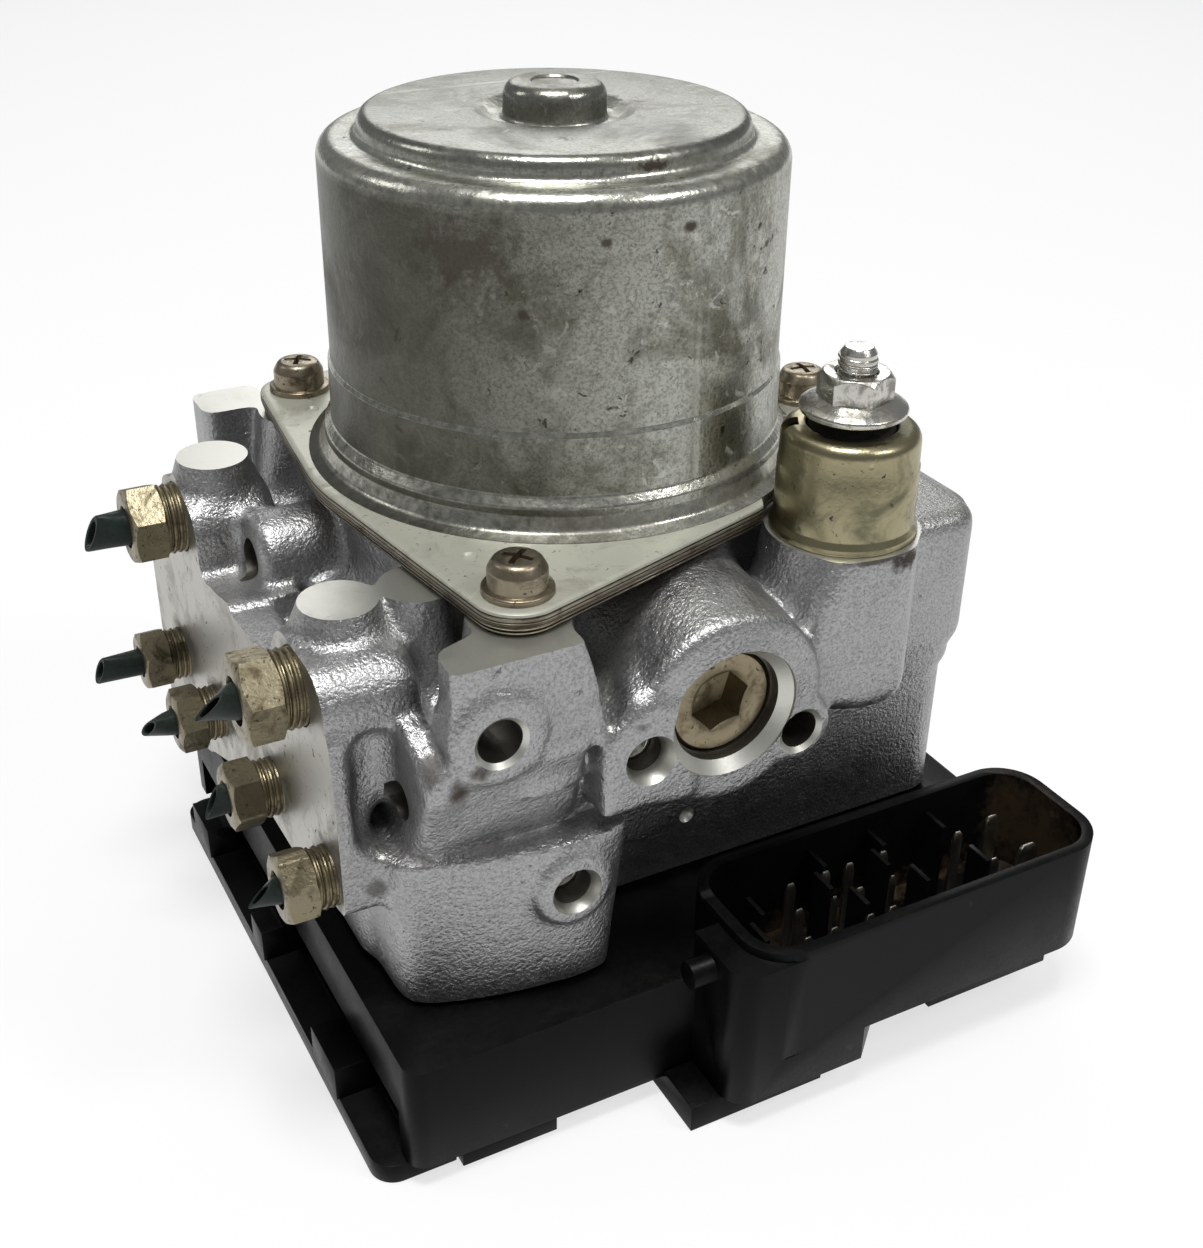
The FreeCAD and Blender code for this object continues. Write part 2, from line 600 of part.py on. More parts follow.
def block_bores(block):
    """Every machined hole: motor, pump, ports, valves, accumulators and brackets."""
    front = d.front_face_y
    # motor register and eccentric chamber
    pocket(block, "Z", (d.chamber_floor, motor_face),
           lambda sketch: circle(sketch, 0, 0, d.chamber_radius))
    for x, y in screw_places:
        pocket(block, "Z", (motor_face - d.motor_screw_grip, motor_face),
               lambda sketch, x=x, y=y: circle(sketch, x, y, d.motor_screw_radius + d.thread_gap))
    # pump bores from the front and the back
    plug_end = front + d.plug_recess + d.plug_length
    for mirrored in (False, True):
        def span(low, high, mirrored=mirrored):
            return (-high, -low) if mirrored else (low, high)
        for end, radius in ((front + d.plug_recess, d.counterbore_radius),
                            (plug_end, d.plug_radius + d.thread_gap),
                            (-d.sleeve_start, d.sleeve_radius + d.thread_gap),
                            (0, d.piston_radius + d.running_gap)):
            pocket(block, "Y", span(front, end), lambda sketch, radius=radius: circle(
                sketch, 0, d.pump_height, radius))
    # line ports
    for places, radius in ((large_ports, d.large_thread_radius),
                           (small_ports, d.small_thread_radius)):
        for y, height in places:
            pocket(block, "X", (d.port_face_x, d.port_face_x + d.thread_depth + 2),
                   lambda sketch, y=y, height=height, radius=radius: circle(
                       sketch, y, height, radius + d.thread_gap))
    # valve bores with their counterbores
    for x, y in valve_places:
        pocket(block, "Z", (block_base, block_base + d.valve_depth),
               lambda sketch, x=x, y=y: circle(sketch, x, y, d.valve_body_radius + d.thread_gap))
        pocket(block, "Z", (block_base, block_base + 2.0),
               lambda sketch, x=x, y=y: circle(sketch, x, y, d.valve_body_radius + 2.0))
    # accumulator bores
    for x, y in accumulator_places:
        pocket(block, "Z", (block_base, d.accumulator_bore_top),
               lambda sketch, x=x, y=y: circle(
                   sketch, x, y, d.accumulator_radius + d.running_gap))
    # tapped holes for the housing screws
    for x, y in housing_screw_places:
        pocket(block, "Z", (block_base, block_base + 9.0), lambda sketch, x=x, y=y: circle(
            sketch, x, y, housing_screw_radius + d.thread_gap))
    # bracket hole, the drilled ears, peg hole and sealed channels
    pocket(block, "Y", (front, front + d.bracket_hole_depth), lambda sketch: circle(
        sketch, d.bracket_hole_x, d.bracket_hole_height, d.bracket_hole_radius))
    pocket(block, "X", (d.ear_face_x, d.ear_face_x + 9), lambda sketch: circle(
        sketch, d.ear_y - 2, d.ear_height + 3, d.ear_hole_radius))
    pocket(block, "X", (d.back_ear_face_x, d.back_ear_face_x + 7), lambda sketch: circle(
        sketch, d.back_ear_y, d.back_ear_height, d.ear_hole_radius))
    pocket(block, "Y", (front, front + d.peg_hole_depth), lambda sketch: circle(
        sketch, d.peg_x, d.peg_height, d.peg_hole_radius))
    for x, height in channel_places:
        pocket(block, "Y", (front, front + 9), lambda sketch, x=x, height=height: circle(
            sketch, x, height, channel_plug_radius + d.thread_gap))
    # tapped hole of the rubber mount, and the centre mark in the front wall
    pocket(block, "Z", (motor_face - 10, motor_face), lambda sketch: circle(
        sketch, d.mount_x, d.mount_y, d.stud_radius + d.thread_gap))
    pocket(block, "Y", (d.lower_front, d.lower_front + 1.2), lambda sketch: circle(
        sketch, 4.2, 34.2, 1.1))


channel_places = [(d.channel_x, d.channel_height), (d.low_channel_x, d.low_channel_height)]
channel_plug_radius = 3.1
tower_pads = [(d.tower_pad_front_x, d.tower_pad_front_y),
              (d.tower_pad_back_x, d.tower_pad_back_y)]


def hydraulic_block():
    """The one-piece aluminium casting."""
    block = body("hydraulic_block")
    upper_casting(block)
    front_bosses(block)
    back_bosses(block)
    ear(block, d.ear_face_x, d.ear_y, d.ear_height, d.ear_radius)
    ear(block, d.back_ear_face_x, d.back_ear_y, d.back_ear_height, d.back_ear_radius)
    pocket(block, "Z", (block_base, ledge_level), lambda sketch: rectangle(
        sketch, (-80.0, 80.0), (-80.0, 80.0)))
    lower_casting(block)
    port_wall(block)
    block_bores(block)


# Motor
def motor_flange(owner, span):
    """The three-cornered plate outline, trimmed clear of the rubber mount."""
    pad(owner, "Z", span, lambda sketch: lobed_outline(
        sketch, d.flange_round, screw_places, d.flange_corner))
    pocket(owner, "Z", span, lambda sketch: circle(
        sketch, d.mount_x, d.mount_y, d.cup_radius + d.cup_lip + 0.8))
    for x, y in screw_places:
        pocket(owner, "Z", span, lambda sketch, x=x, y=y: circle(
            sketch, x, y, d.motor_screw_radius + 0.3))


def motor_can():
    """The drawn can: three-cornered flange, bead, skirt, shoulder, end disc and pocket."""
    can = body("motor_can")
    wall = d.can_sheet
    motor_flange(can, (flange_base, flange_top))
    outside = [
        (d.bead_radius + 1.2, flange_top), (d.bead_radius, flange_top + 1.2),
        (d.bead_radius, flange_top + 3.4), (d.skirt_radius + 0.3, flange_top + 5.2),
        (d.skirt_radius, flange_top + 6.0), (d.skirt_radius, flange_top + d.skirt_height - 0.4),
        (d.can_radius, flange_top + d.skirt_height), (d.can_radius, shoulder_level),
        (d.disc_radius + 1.0, shoulder_level), (d.disc_radius, shoulder_level + 1.0),
        (d.disc_radius, disc_level - 1.4), (d.disc_radius - 0.4, disc_level - 0.4),
        (d.disc_radius - 1.4, disc_level), (d.moat_radius, disc_level),
        (d.moat_radius - 1.8, disc_level - d.moat_depth), (d.hub_radius, disc_level - d.moat_depth),
        (d.hub_radius, hub_level - 1.4), (d.hub_radius - 1.4, hub_level), (0, hub_level)]
    inside = [
        (0, hub_level - wall), (d.hub_radius - wall, hub_level - wall),
        (d.hub_radius - wall, disc_level - wall - d.moat_depth),
        (d.disc_radius - wall, disc_level - wall - d.moat_depth),
        (d.disc_radius - wall, shoulder_level - wall), (d.can_radius - wall, shoulder_level - wall),
        (d.can_radius - wall, flange_base)]
    turn(can, outside + inside + [(d.bead_radius + 1.2, flange_base)])
    round_edges(can, d.shoulder_round, lambda edge: ring(edge, d.can_radius, shoulder_level))
    round_edges(can, d.shoulder_round - wall, lambda edge: ring(
        edge, d.can_radius - wall, shoulder_level - wall))
    pocket(can, "Z", (flange_base, flange_top), lambda sketch: circle(
        sketch, 0, 0, d.can_radius - wall))


def motor_end_plate():
    """The plate that closes the can, with the lower bearing's drawn pocket."""
    plate = body("motor_end_plate")
    motor_flange(plate, (motor_face, flange_base))
    pocket_radius = d.chamber_radius - 0.4
    pad(plate, "Z", (motor_face - 8.6, motor_face), lambda sketch: circle(
        sketch, 0, 0, pocket_radius))
    pocket(plate, "Z", (motor_face - 7.0, flange_base), lambda sketch: circle(
        sketch, 0, 0, pocket_radius - 1.6))
    pocket(plate, "Z", (motor_face - 9.0, motor_face), lambda sketch: circle(
        sketch, 0, 0, d.shaft_radius + 2.0))


def motor_screws():
    """Three pan head screws with their washers, from the flange into the block."""
    made = []
    for index, (x, y) in enumerate(screw_places):
        screw = inner(body("motor_screw_%d" % (index + 1)))
        turn(screw, [
            (0, motor_face - d.motor_screw_grip + 0.5),
            (d.motor_screw_radius, motor_face - d.motor_screw_grip + 0.5),
            (d.motor_screw_radius, flange_top), (5.2, flange_top), (5.2, flange_top + 1.0),
            (4.3, flange_top + 1.0), (4.3, flange_top + 4.4), (3.5, flange_top + 5.4),
            (2.2, flange_top + 5.7), (2.2, flange_top + 4.0), (0, flange_top + 3.6)])
        screw.Placement = Placement(Vector(float(x), float(y), 0), Rotation())
        screw.setExpression("Placement.Base.x", x.formula)
        screw.setExpression("Placement.Base.y", y.formula)
        made.append(screw)
    group("motor_screws", made)


brush_gear_top = flange_base + 9.4
winding_head = 5.0
armature_low = brush_gear_top + winding_head + 0.8
armature_high = shoulder_level - winding_head - 4.4
magnet_base = armature_low - 2.0
magnet_top = armature_high + 2.0


def field_magnets():
    """Two arc magnets bonded inside the can."""
    made = []
    outside = d.can_radius - d.can_sheet
    for index, middle in enumerate((90, 270)):
        magnet = inner(body("field_magnet_%d" % (index + 1)))
        sketch = sketch_on(magnet, "Y", 0)
        rectangle(sketch, (outside - 5.5, outside - d.thread_gap), (magnet_base, magnet_top))
        feature = magnet.newObject("PartDesign::Revolution", "field_magnet_arc")
        feature.Profile = sketch
        feature.ReferenceAxis = (sketch, ["V_Axis"])
        feature.Angle = 130
        magnet.Placement = Placement(Vector(), Rotation(Vector(0, 0, 1), middle - 65))
        made.append(magnet)
    group("field_magnets", made)


shaft_bottom = d.chamber_floor + 1.5
ring_low = d.pump_height - 4.5
ring_high = d.pump_height + 4.5
lower_bearing_low = motor_face - 7.0
lower_bearing_high = motor_face
top_bearing_low = disc_level - d.can_sheet - d.moat_depth - 1.0
commutator_low = flange_base + 1.2


def rotor_shaft():
    """The ground shaft with its eccentric journal, thrown towards +X at rest."""
    shaft = body("rotor_shaft")
    turn(shaft, [
        (0, ring_high + 0.6), (d.shaft_radius, ring_high + 0.6),
        (d.shaft_radius, top_bearing_low - 1.0), (d.shaft_top_radius, top_bearing_low),
        (d.shaft_top_radius, hub_level - d.can_sheet - 0.6), (0, hub_level - d.can_sheet - 0.6)])
    pad(shaft, "Z", (ring_low - 0.3, ring_high + 0.6), lambda sketch: circle(
        sketch, d.eccentric_offset, 0, d.eccentric_radius))
    pad(shaft, "Z", (shaft_bottom, ring_low - 0.3), lambda sketch: circle(
        sketch, 0, 0, d.shaft_radius - 0.5))


def eccentric_ring():
    """The needle ring that the pump pistons ride on."""
    ring = body("eccentric_ring")
    pad(ring, "Z", (ring_low, ring_high), lambda sketch: circle(
        sketch, d.eccentric_offset, 0, d.eccentric_ring_radius))
    pocket(ring, "Z", (ring_low, ring_high), lambda sketch: circle(
        sketch, d.eccentric_offset, 0, d.eccentric_radius + 0.01))


def armature():
    """Slotted core, winding heads and commutator on the shaft."""
    core_radius = d.can_radius - d.can_sheet - 5.5 - 0.8
    core = body("armature_core")
    pad(core, "Z", (armature_low, armature_high), lambda sketch: circle(
        sketch, 0, 0, core_radius))
    pocket(core, "Z", (armature_low, armature_high), lambda sketch: circle(
        sketch, 0, 0, d.shaft_radius + 0.01))
    slot = pocket(core, "Z", (armature_low, armature_high), lambda sketch: rectangle(
        sketch, (core_radius - 9.0, core_radius + 1.0), (-1.1, 1.1)))
    doc.recompute()
    slots = core.newObject("PartDesign::PolarPattern", "armature_core_slots")
    slots.Originals = [slot]
    slots.Axis = (slot.Profile[0], ["N_Axis"])
    slots.Angle = 360
    slots.Occurrences = 12
    core.Tip = slots

    winding = body("armature_windings")
    head = core_radius - 3.0
    for low, high in ((armature_low - winding_head, armature_low),
                      (armature_high, armature_high + winding_head)):
        pad(winding, "Z", (low, high), lambda sketch: circle(sketch, 0, 0, head))
        pocket(winding, "Z", (low, high), lambda sketch: circle(
            sketch, 0, 0, d.shaft_radius + 4.0))

    commutator = body("commutator")
    pad(commutator, "Z", (commutator_low, armature_low), lambda sketch: circle(
        sketch, 0, 0, d.shaft_radius + 3.9))
    pocket(commutator, "Z", (commutator_low, armature_low), lambda sketch: circle(
        sketch, 0, 0, d.shaft_radius + 0.01))


def bearings():
    """The sintered top bush and the ball bearing in the end plate, each one unit."""
    bush = body("top_bearing")
    outer = d.hub_radius - d.can_sheet - d.thread_gap
    pad(bush, "Z", (top_bearing_low + 1.0, hub_level - d.can_sheet - 1.5),
        lambda sketch: circle(sketch, 0, 0, outer))
    pocket(bush, "Z", (top_bearing_low, hub_level), lambda sketch: circle(
        sketch, 0, 0, d.shaft_top_radius + d.running_gap))
    ball = body("lower_bearing")
    pad(ball, "Z", (lower_bearing_low, lower_bearing_high), lambda sketch: circle(
        sketch, 0, 0, d.chamber_radius - 2.02))
    pocket(ball, "Z", (lower_bearing_low, lower_bearing_high), lambda sketch: circle(
        sketch, 0, 0, d.shaft_radius + d.running_gap))


def brush_gear():
    """The brush holder plate above the end plate, its two brushes and their springs."""
    low = flange_base
    holder = body("brush_holder")
    outer = d.can_radius - d.can_sheet - 0.3
    pad(holder, "Z", (low, low + 1.6), lambda sketch: circle(sketch, 0, 0, outer))
    pocket(holder, "Z", (low, low + 1.6), lambda sketch: circle(
        sketch, 0, 0, d.shaft_radius + 6.0))
    for side in (1, -1):
        span = ((13.0, 27.0), (-13.0, -27.0))[side < 0]
        pad(holder, "Z", (low + 1.6, brush_gear_top), lambda sketch, span=span: rectangle(
            sketch, (min(span), max(span)), (-4.2, 4.2)))
        pocket(holder, "Z", (low + 2.8, low + 8.2), lambda sketch, span=span: rectangle(
            sketch, (min(span) - 1, max(span) + 1), (-3.05, 3.05)))
    brushes, springs = [], []
    contact = d.shaft_radius + 3.9 + 0.1
    for index, side in enumerate((1, -1)):
        brush = inner(body("brush_%d" % (index + 1)))
        ends = (contact, contact + 10.0) if side > 0 else (-(contact + 10.0), -contact)
        pad(brush, "X", ends, lambda sketch: rectangle(
            sketch, (-3.0, 3.0), (low + 2.85, low + 8.15)))
        brushes.append(brush)
        spring = inner(body("brush_spring_%d" % (index + 1)))
        ends = (contact + 10.0, 27.0) if side > 0 else (-27.0, -(contact + 10.0))
        pad(spring, "X", ends, lambda sketch: circle(sketch, 0, low + 5.5, 2.2))
        pocket(spring, "X", ends, lambda sketch: circle(sketch, 0, low + 5.5, 1.5))
        springs.append(spring)
    group("carbon_brushes", brushes)
    group("brush_springs", springs)


# Pump elements, opposed on the Y axis at the height of the eccentric ring
piston_tip = d.eccentric_ring_radius + 2 * d.eccentric_offset + d.running_gap
piston_tail = piston_tip + d.piston_length


def pump_elements():
    """Plugs, sleeves, springs and the two pistons."""
    plug_face = -d.front_face_y - d.plug_recess
    plug_tail = plug_face - d.plug_length
    plugs, sleeves, springs = [], [], []
    for index, sign in enumerate((-1, 1)):
        def span(near, far, sign=sign):
            return (near, far) if sign > 0 else (-far, -near)
        plug = inner(body("pump_plug_%d" % (index + 1)))
        pad(plug, "Y", span(plug_tail, plug_face), lambda sketch: circle(
            sketch, 0, d.pump_height, d.plug_radius))
        pocket(plug, "Y", span(plug_face - 5.0, plug_face), lambda sketch: hexagon(
            sketch, 0, d.pump_height, d.plug_hex))
        plugs.append(plug)
        sleeve = inner(body("pump_sleeve_%d" % (index + 1)))
        pad(sleeve, "Y", span(d.sleeve_start, plug_tail), lambda sketch: circle(
            sketch, 0, d.pump_height, d.sleeve_radius))
        pocket(sleeve, "Y", span(d.sleeve_start, plug_tail), lambda sketch: circle(
            sketch, 0, d.pump_height, d.piston_radius + d.running_gap))
        sleeves.append(sleeve)
        spring = inner(body("pump_spring_%d" % (index + 1)))
        spring_start = piston_tail + d.eccentric_offset + d.running_gap
        pad(spring, "Y", span(spring_start, plug_tail), lambda sketch: circle(
            sketch, 0, d.pump_height, d.piston_radius - 0.4))
        pocket(spring, "Y", span(piston_tail, plug_tail), lambda sketch: circle(
            sketch, 0, d.pump_height, d.piston_radius - 1.2))
        springs.append(spring)
        piston = body(("front_pump_piston", "rear_pump_piston")[index])
        pad(piston, "Y", span(piston_tip, piston_tail), lambda sketch: circle(
            sketch, 0, d.pump_height, d.piston_radius))
    group("pump_plugs", plugs)
    group("pump_sleeves", sleeves)
    group("pump_springs", springs)


accumulator_cap_top = block_base + d.accumulator_cap_height
accumulator_piston_top = d.accumulator_bore_top - 0.3
accumulator_piston_low = accumulator_piston_top - d.accumulator_piston_length


def accumulators():
    """Two low pressure accumulators: piston, spring and cap in each upright bore."""
    caps = []
    for index, (x, y) in enumerate(accumulator_places):
        side = ("front", "rear")[index]
        piston = body("%s_accumulator_piston" % side)
        pad(piston, "Z", (accumulator_piston_low, accumulator_piston_top),
            lambda sketch, x=x, y=y: circle(sketch, x, y, d.accumulator_radius))
        pocket(piston, "Z", (accumulator_piston_low, accumulator_piston_low + 4.0),
               lambda sketch, x=x, y=y: circle(sketch, x, y, d.accumulator_radius - 1.6))
        spring = body("%s_accumulator_spring" % side)
        top = accumulator_piston_low + 4.0
        pad(spring, "Z", (accumulator_cap_top, top), lambda sketch, x=x, y=y: circle(
            sketch, x, y, d.accumulator_radius - 2.0))
        pocket(spring, "Z", (accumulator_cap_top, top), lambda sketch, x=x, y=y: circle(
            sketch, x, y, d.accumulator_radius - 3.2))
        cap = inner(body("%s_accumulator_cap" % side))
        pad(cap, "Z", (block_base, accumulator_cap_top), lambda sketch, x=x, y=y: circle(
            sketch, x, y, d.accumulator_radius))
        caps.append(cap)
    group("accumulator_caps", caps)


def valves():
    """Eight crimped solenoid valve cartridges and their coils."""
    cartridges, coils = [], []
    dome_low = block_base - 15.5
    coil_low = deck_level - d.deck_skin - d.coil_height - 0.3
    for index, (x, y) in enumerate(valve_places):
        valve = inner(body("solenoid_valve_%d" % (index + 1)))
        turn(valve, [
            (0, dome_low), (d.valve_dome_radius - 0.8, dome_low),
            (d.valve_dome_radius, dome_low + 0.8), (d.valve_dome_radius, block_base),
            (d.valve_body_radius + 1.9, block_base), (d.valve_body_radius + 1.9, block_base + 2.0),
            (d.valve_body_radius, block_base + 2.0),
            (d.valve_body_radius, block_base + d.valve_depth - 4.0),
            (d.valve_body_radius - 1.5, block_base + d.valve_depth - 0.5),
            (0, block_base + d.valve_depth - 0.5)])
        coil = inner(body("valve_coil_%d" % (index + 1)))
        turn(coil, [
            (d.valve_dome_radius + 0.1, coil_low), (d.coil_radius, coil_low),
            (d.coil_radius, coil_low + d.coil_height),
            (d.valve_dome_radius + 0.1, coil_low + d.coil_height)])
        for piece in (valve, coil):
            piece.Placement = Placement(Vector(float(x), float(y), 0), Rotation())
            piece.setExpression("Placement.Base.x", x.formula)
            piece.setExpression("Placement.Base.y", y.formula)
        cartridges.append(valve)
        coils.append(coil)
    group("solenoid_valves", cartridges)
    group("valve_coils", coils)


# Line nuts and the cut brake pipes
def flare_nut(name, y, height, thread, flats, hex_length, pipe, stand_off):
    """A flare nut: thread in the port, hexagon with a turned end, bore for the pipe."""
    nut = inner(body(name))
    face = d.port_face_x
    hex_in = face - stand_off
    hex_out = hex_in - hex_length
    pad(nut, "X", (hex_in, face + d.thread_depth), lambda sketch: circle(
        sketch, y, height, thread))
    pad(nut, "X", (hex_out, hex_in), lambda sketch: hexagon(sketch, y, height, flats))
    pad(nut, "X", (hex_out - 0.8, hex_out), lambda sketch: circle(
        sketch, y, height, flats / 2 - 0.3))
    pocket(nut, "X", (hex_out - 1, face + d.thread_depth), lambda sketch: circle(
        sketch, y, height, pipe + d.thread_gap))
    return nut


def cut_pipe(name, y, height, radius, end, lean):
    """A pipe stub, sheared off on a slant outside its nut."""
    stub = inner(body(name))
    inner_end = d.port_face_x + d.thread_depth
    pad(stub, "X", (end, inner_end), lambda sketch: circle(sketch, y, height, radius))
    pocket(stub, "X", (end - 1, inner_end + 1), lambda sketch: circle(
        sketch, y, height, radius - d.pipe_wall))
    pocket(stub, "Y", (y - radius - 1, y + radius + 1), lambda sketch: polygon(sketch, [
        (end - 1, height - radius - 1), (end + lean, height - radius - 1),
        (end, height + radius + 1), (end - 1, height + radius + 1)]))
    return stub


def line_fittings():
    """Two large and four small flare nuts with their sheared pipes."""
    nuts = [
        flare_nut("large_flare_nut_%d" % (index + 1), y, height, d.large_thread_radius,
                  d.large_nut_flats, d.large_nut_hex, d.large_pipe_radius, stand_off)
        for index, ((y, height), stand_off) in enumerate(zip(large_ports, (1.8, 3.2)))]
    group("large_flare_nuts", nuts)
    nuts = [
        flare_nut("small_flare_nut_%d" % (index + 1), y, height, d.small_thread_radius,
                  d.small_nut_flats, d.small_nut_hex, d.small_pipe_radius, stand_off)
        for index, ((y, height), stand_off) in enumerate(zip(small_ports, (2.2, 2.0, 2.0, 2.4)))]
    group("small_flare_nuts", nuts)
    stubs = [cut_pipe("large_pipe_%d" % (index + 1), y, height, d.large_pipe_radius, end, lean)
             for index, ((y, height), (end, lean)) in enumerate(
                 zip(large_ports, ((-71.6, 2.4), (-73.4, -2.0 + 3.6))))]
    group("large_pipe_stubs", stubs)
    stubs = [cut_pipe("small_pipe_%d" % (index + 1), y, height, d.small_pipe_radius, end, lean)
             for index, ((y, height), (end, lean)) in enumerate(
                 zip(small_ports, ((-69.4, 1.6), (-68.8, 1.8), (-71.0, 1.4), (-74.0, 1.0))))]
    group("small_pipe_stubs", stubs)


def channel_plugs():
    """Two socket screws that seal drilled channels in the front face."""
    made = []
    for index, (x, height) in enumerate(channel_places):
        plug = inner(body("channel_plug_%d" % (index + 1)))
        face = d.front_face_y + 3.2
        pad(plug, "Y", (face, face + 5.8), lambda sketch, x=x, height=height: circle(
            sketch, x, height, channel_plug_radius))
        pocket(plug, "Y", (face, face + 2.0), lambda sketch, x=x, height=height: hexagon(
            sketch, x, height, 3.0))
        made.append(plug)
    group("channel_plugs", made)


# Rubber mount at the front right corner
def rubber_mount():
    """Steel cup, rubber bush, stud and flange nut."""
    def placed(made):
        made.Placement = Placement(Vector(float(d.mount_x), float(d.mount_y), 0), Rotation())
        made.setExpression("Placement.Base.x", d.mount_x.formula)
        made.setExpression("Placement.Base.y", d.mount_y.formula)

    base = motor_face
    top = base + d.cup_height
    cup = body("mount_cup")
    wall = d.cup_sheet
    turn(cup, [
        (d.cup_radius + d.cup_lip, base), (d.cup_radius + d.cup_lip, base + 1.2),
        (d.cup_radius, base + 1.9), (d.cup_radius, top - 3.0), (d.cup_radius - 0.9, top - 0.9),
        (d.cup_radius - 3.0, top), (d.cup_mouth_radius, top), (d.cup_mouth_radius, top - wall),
        (d.cup_radius - 3.4, top - wall), (d.cup_radius - wall, top - 3.4),
        (d.cup_radius - wall, base)])
    placed(cup)

    washer = base + d.cup_height + 2.0
    gap = d.thread_gap
    bush = body("mount_bush")
    turn(bush, [
        (d.stud_radius + gap, base + gap), (d.cup_radius - wall - gap, base + gap),
        (d.cup_radius - wall - gap, top - 3.6), (d.cup_radius - 3.6, top - wall - gap),
        (d.cup_mouth_radius - gap, top - wall - gap), (d.cup_mouth_radius - gap, top + 0.4),
        (d.cup_mouth_radius - 1.0, washer), (d.stud_radius + gap, washer)])
    placed(bush)

    stud = body("mount_stud")
    turn(stud, [
        (0, base - 9.5), (d.stud_radius, base - 9.5), (d.stud_radius, base + d.stud_height - 0.8),
        (d.stud_radius - 0.8, base + d.stud_height), (0, base + d.stud_height)])
    placed(stud)

    nut = body("mount_nut")
    pad(nut, "Z", (washer, washer + 1.4), lambda sketch: circle(
        sketch, 0, 0, d.nut_flange_radius))
    pad(nut, "Z", (washer + 1.4, washer + 6.4), lambda sketch: hexagon(
        sketch, 0, 0, d.nut_flats))
    pocket(nut, "Z", (washer - 1, washer + 7), lambda sketch: circle(
        sketch, 0, 0, d.stud_radius + d.thread_gap))
    placed(nut)


# Controller
def plan_rectangle(x_span, y_span):
    """A draw rule for a rectangle in plan."""
    return lambda sketch: rectangle(sketch, x_span, y_span)


def controller_housing():
    """The moulded housing: deck, walls, connector shroud and its supports."""
    housing = body("controller_housing")
    low = d.lid_depth
    recess = 2.6
    step = low + 8.4
    pad(housing, "Z", (low, deck_level), plan_rectangle(
        (d.housing_left, d.housing_right), (d.housing_front, d.housing_back)))
    round_edges(housing, d.housing_corner, lambda edge: upright(edge, low, deck_level))
    # groove along the left wall, behind its front corner
    pocket(housing, "Z", (low, step), plan_rectangle(
        (d.housing_left - 1, d.housing_left + recess), (d.housing_front + 5, d.housing_back - 6)))
    # solid forms of the connector, before the insides are cut
    pad(housing, "Z", (d.shroud_base, d.shroud_top), plan_rectangle(
        (d.shroud_left, d.shroud_right), (d.shroud_front, d.shroud_back)))
    round_edges(housing, d.shroud_corner, lambda edge: upright(
        edge, d.shroud_base, d.shroud_top) and edge.BoundBox.ZMax > float(deck_level) + 1)
    base = d.lid_depth + 1.4
    pad(housing, "Z", (base, d.shroud_base), lambda sketch: polygon(sketch, [
        (d.shroud_left - 4.2, d.housing_front + 1), (d.shroud_left - 4.2, d.shroud_front),
        (17.0, d.shroud_front), (25.0, d.shroud_front + 7.5), (25.0, d.housing_front + 1)]))
    pad(housing, "Z", (d.shroud_base, d.shroud_top - 1.6), plan_rectangle(
        (d.shroud_left - 4.2, d.shroud_left + 5), (d.shroud_front, d.housing_front + 1)))
    pad(housing, "Z", (base, d.shroud_base), plan_rectangle(
        (d.shroud_right - 31.0, d.shroud_right - 6.0), (d.housing_front - 8.0, d.housing_front + 1)))
    pad(housing, "X", (d.shroud_left - 8.2, d.shroud_left - 4.2), lambda sketch: circle(
        sketch, d.shroud_front + 8.5, d.shroud_top - 5.0, 2.2))
    # inside of the housing
    wall = d.housing_wall
    inside = (d.housing_left + wall + recess, d.housing_right - wall)
    pocket(housing, "Z", (low, d.shroud_floor - 2.4), plan_rectangle(
        inside, (d.housing_front + d.front_rim, d.housing_back - wall)))
    pocket(housing, "Z", (low, deck_level - d.deck_skin), plan_rectangle(
        inside, (d.shroud_back + 1.0, d.housing_back - wall)))
    # connector cavity and the way of its pins to the board
    pocket(housing, "Z", (d.shroud_floor, d.shroud_top), lambda sketch: rounded_plan(
        sketch, d.shroud_left + d.shroud_wall, d.shroud_right - d.shroud_wall,
        d.shroud_front + d.shroud_wall, d.shroud_back - d.shroud_wall,
        d.shroud_corner - d.shroud_wall))
    for x, y in guide_rib_places:
        pad(housing, "Z", (d.shroud_floor - 1, d.rib_top), plan_rectangle(
            (x - d.rib_width / 2, x + d.rib_width / 2),
            (y - d.rib_length / 2, y + d.rib_length / 2)))
    # holes in the deck for the valve domes and the housing screws
    for x, y in valve_places:
        pocket(housing, "Z", (deck_level - d.deck_skin - 1, deck_level),
               lambda sketch, x=x, y=y: circle(sketch, x, y, d.valve_dome_radius + 0.6))
    for x, y in housing_screw_places:
        pad(housing, "Z", (low, deck_level - d.deck_skin), lambda sketch, x=x, y=y: circle(
            sketch, x, y, 4.6))
        pocket(housing, "Z", (low, deck_level), lambda sketch, x=x, y=y: circle(
            sketch, x, y, housing_screw_radius + 0.1))
        pocket(housing, "Z", (low, low + 7.0), lambda sketch, x=x, y=y: circle(
            sketch, x, y, 3.6))


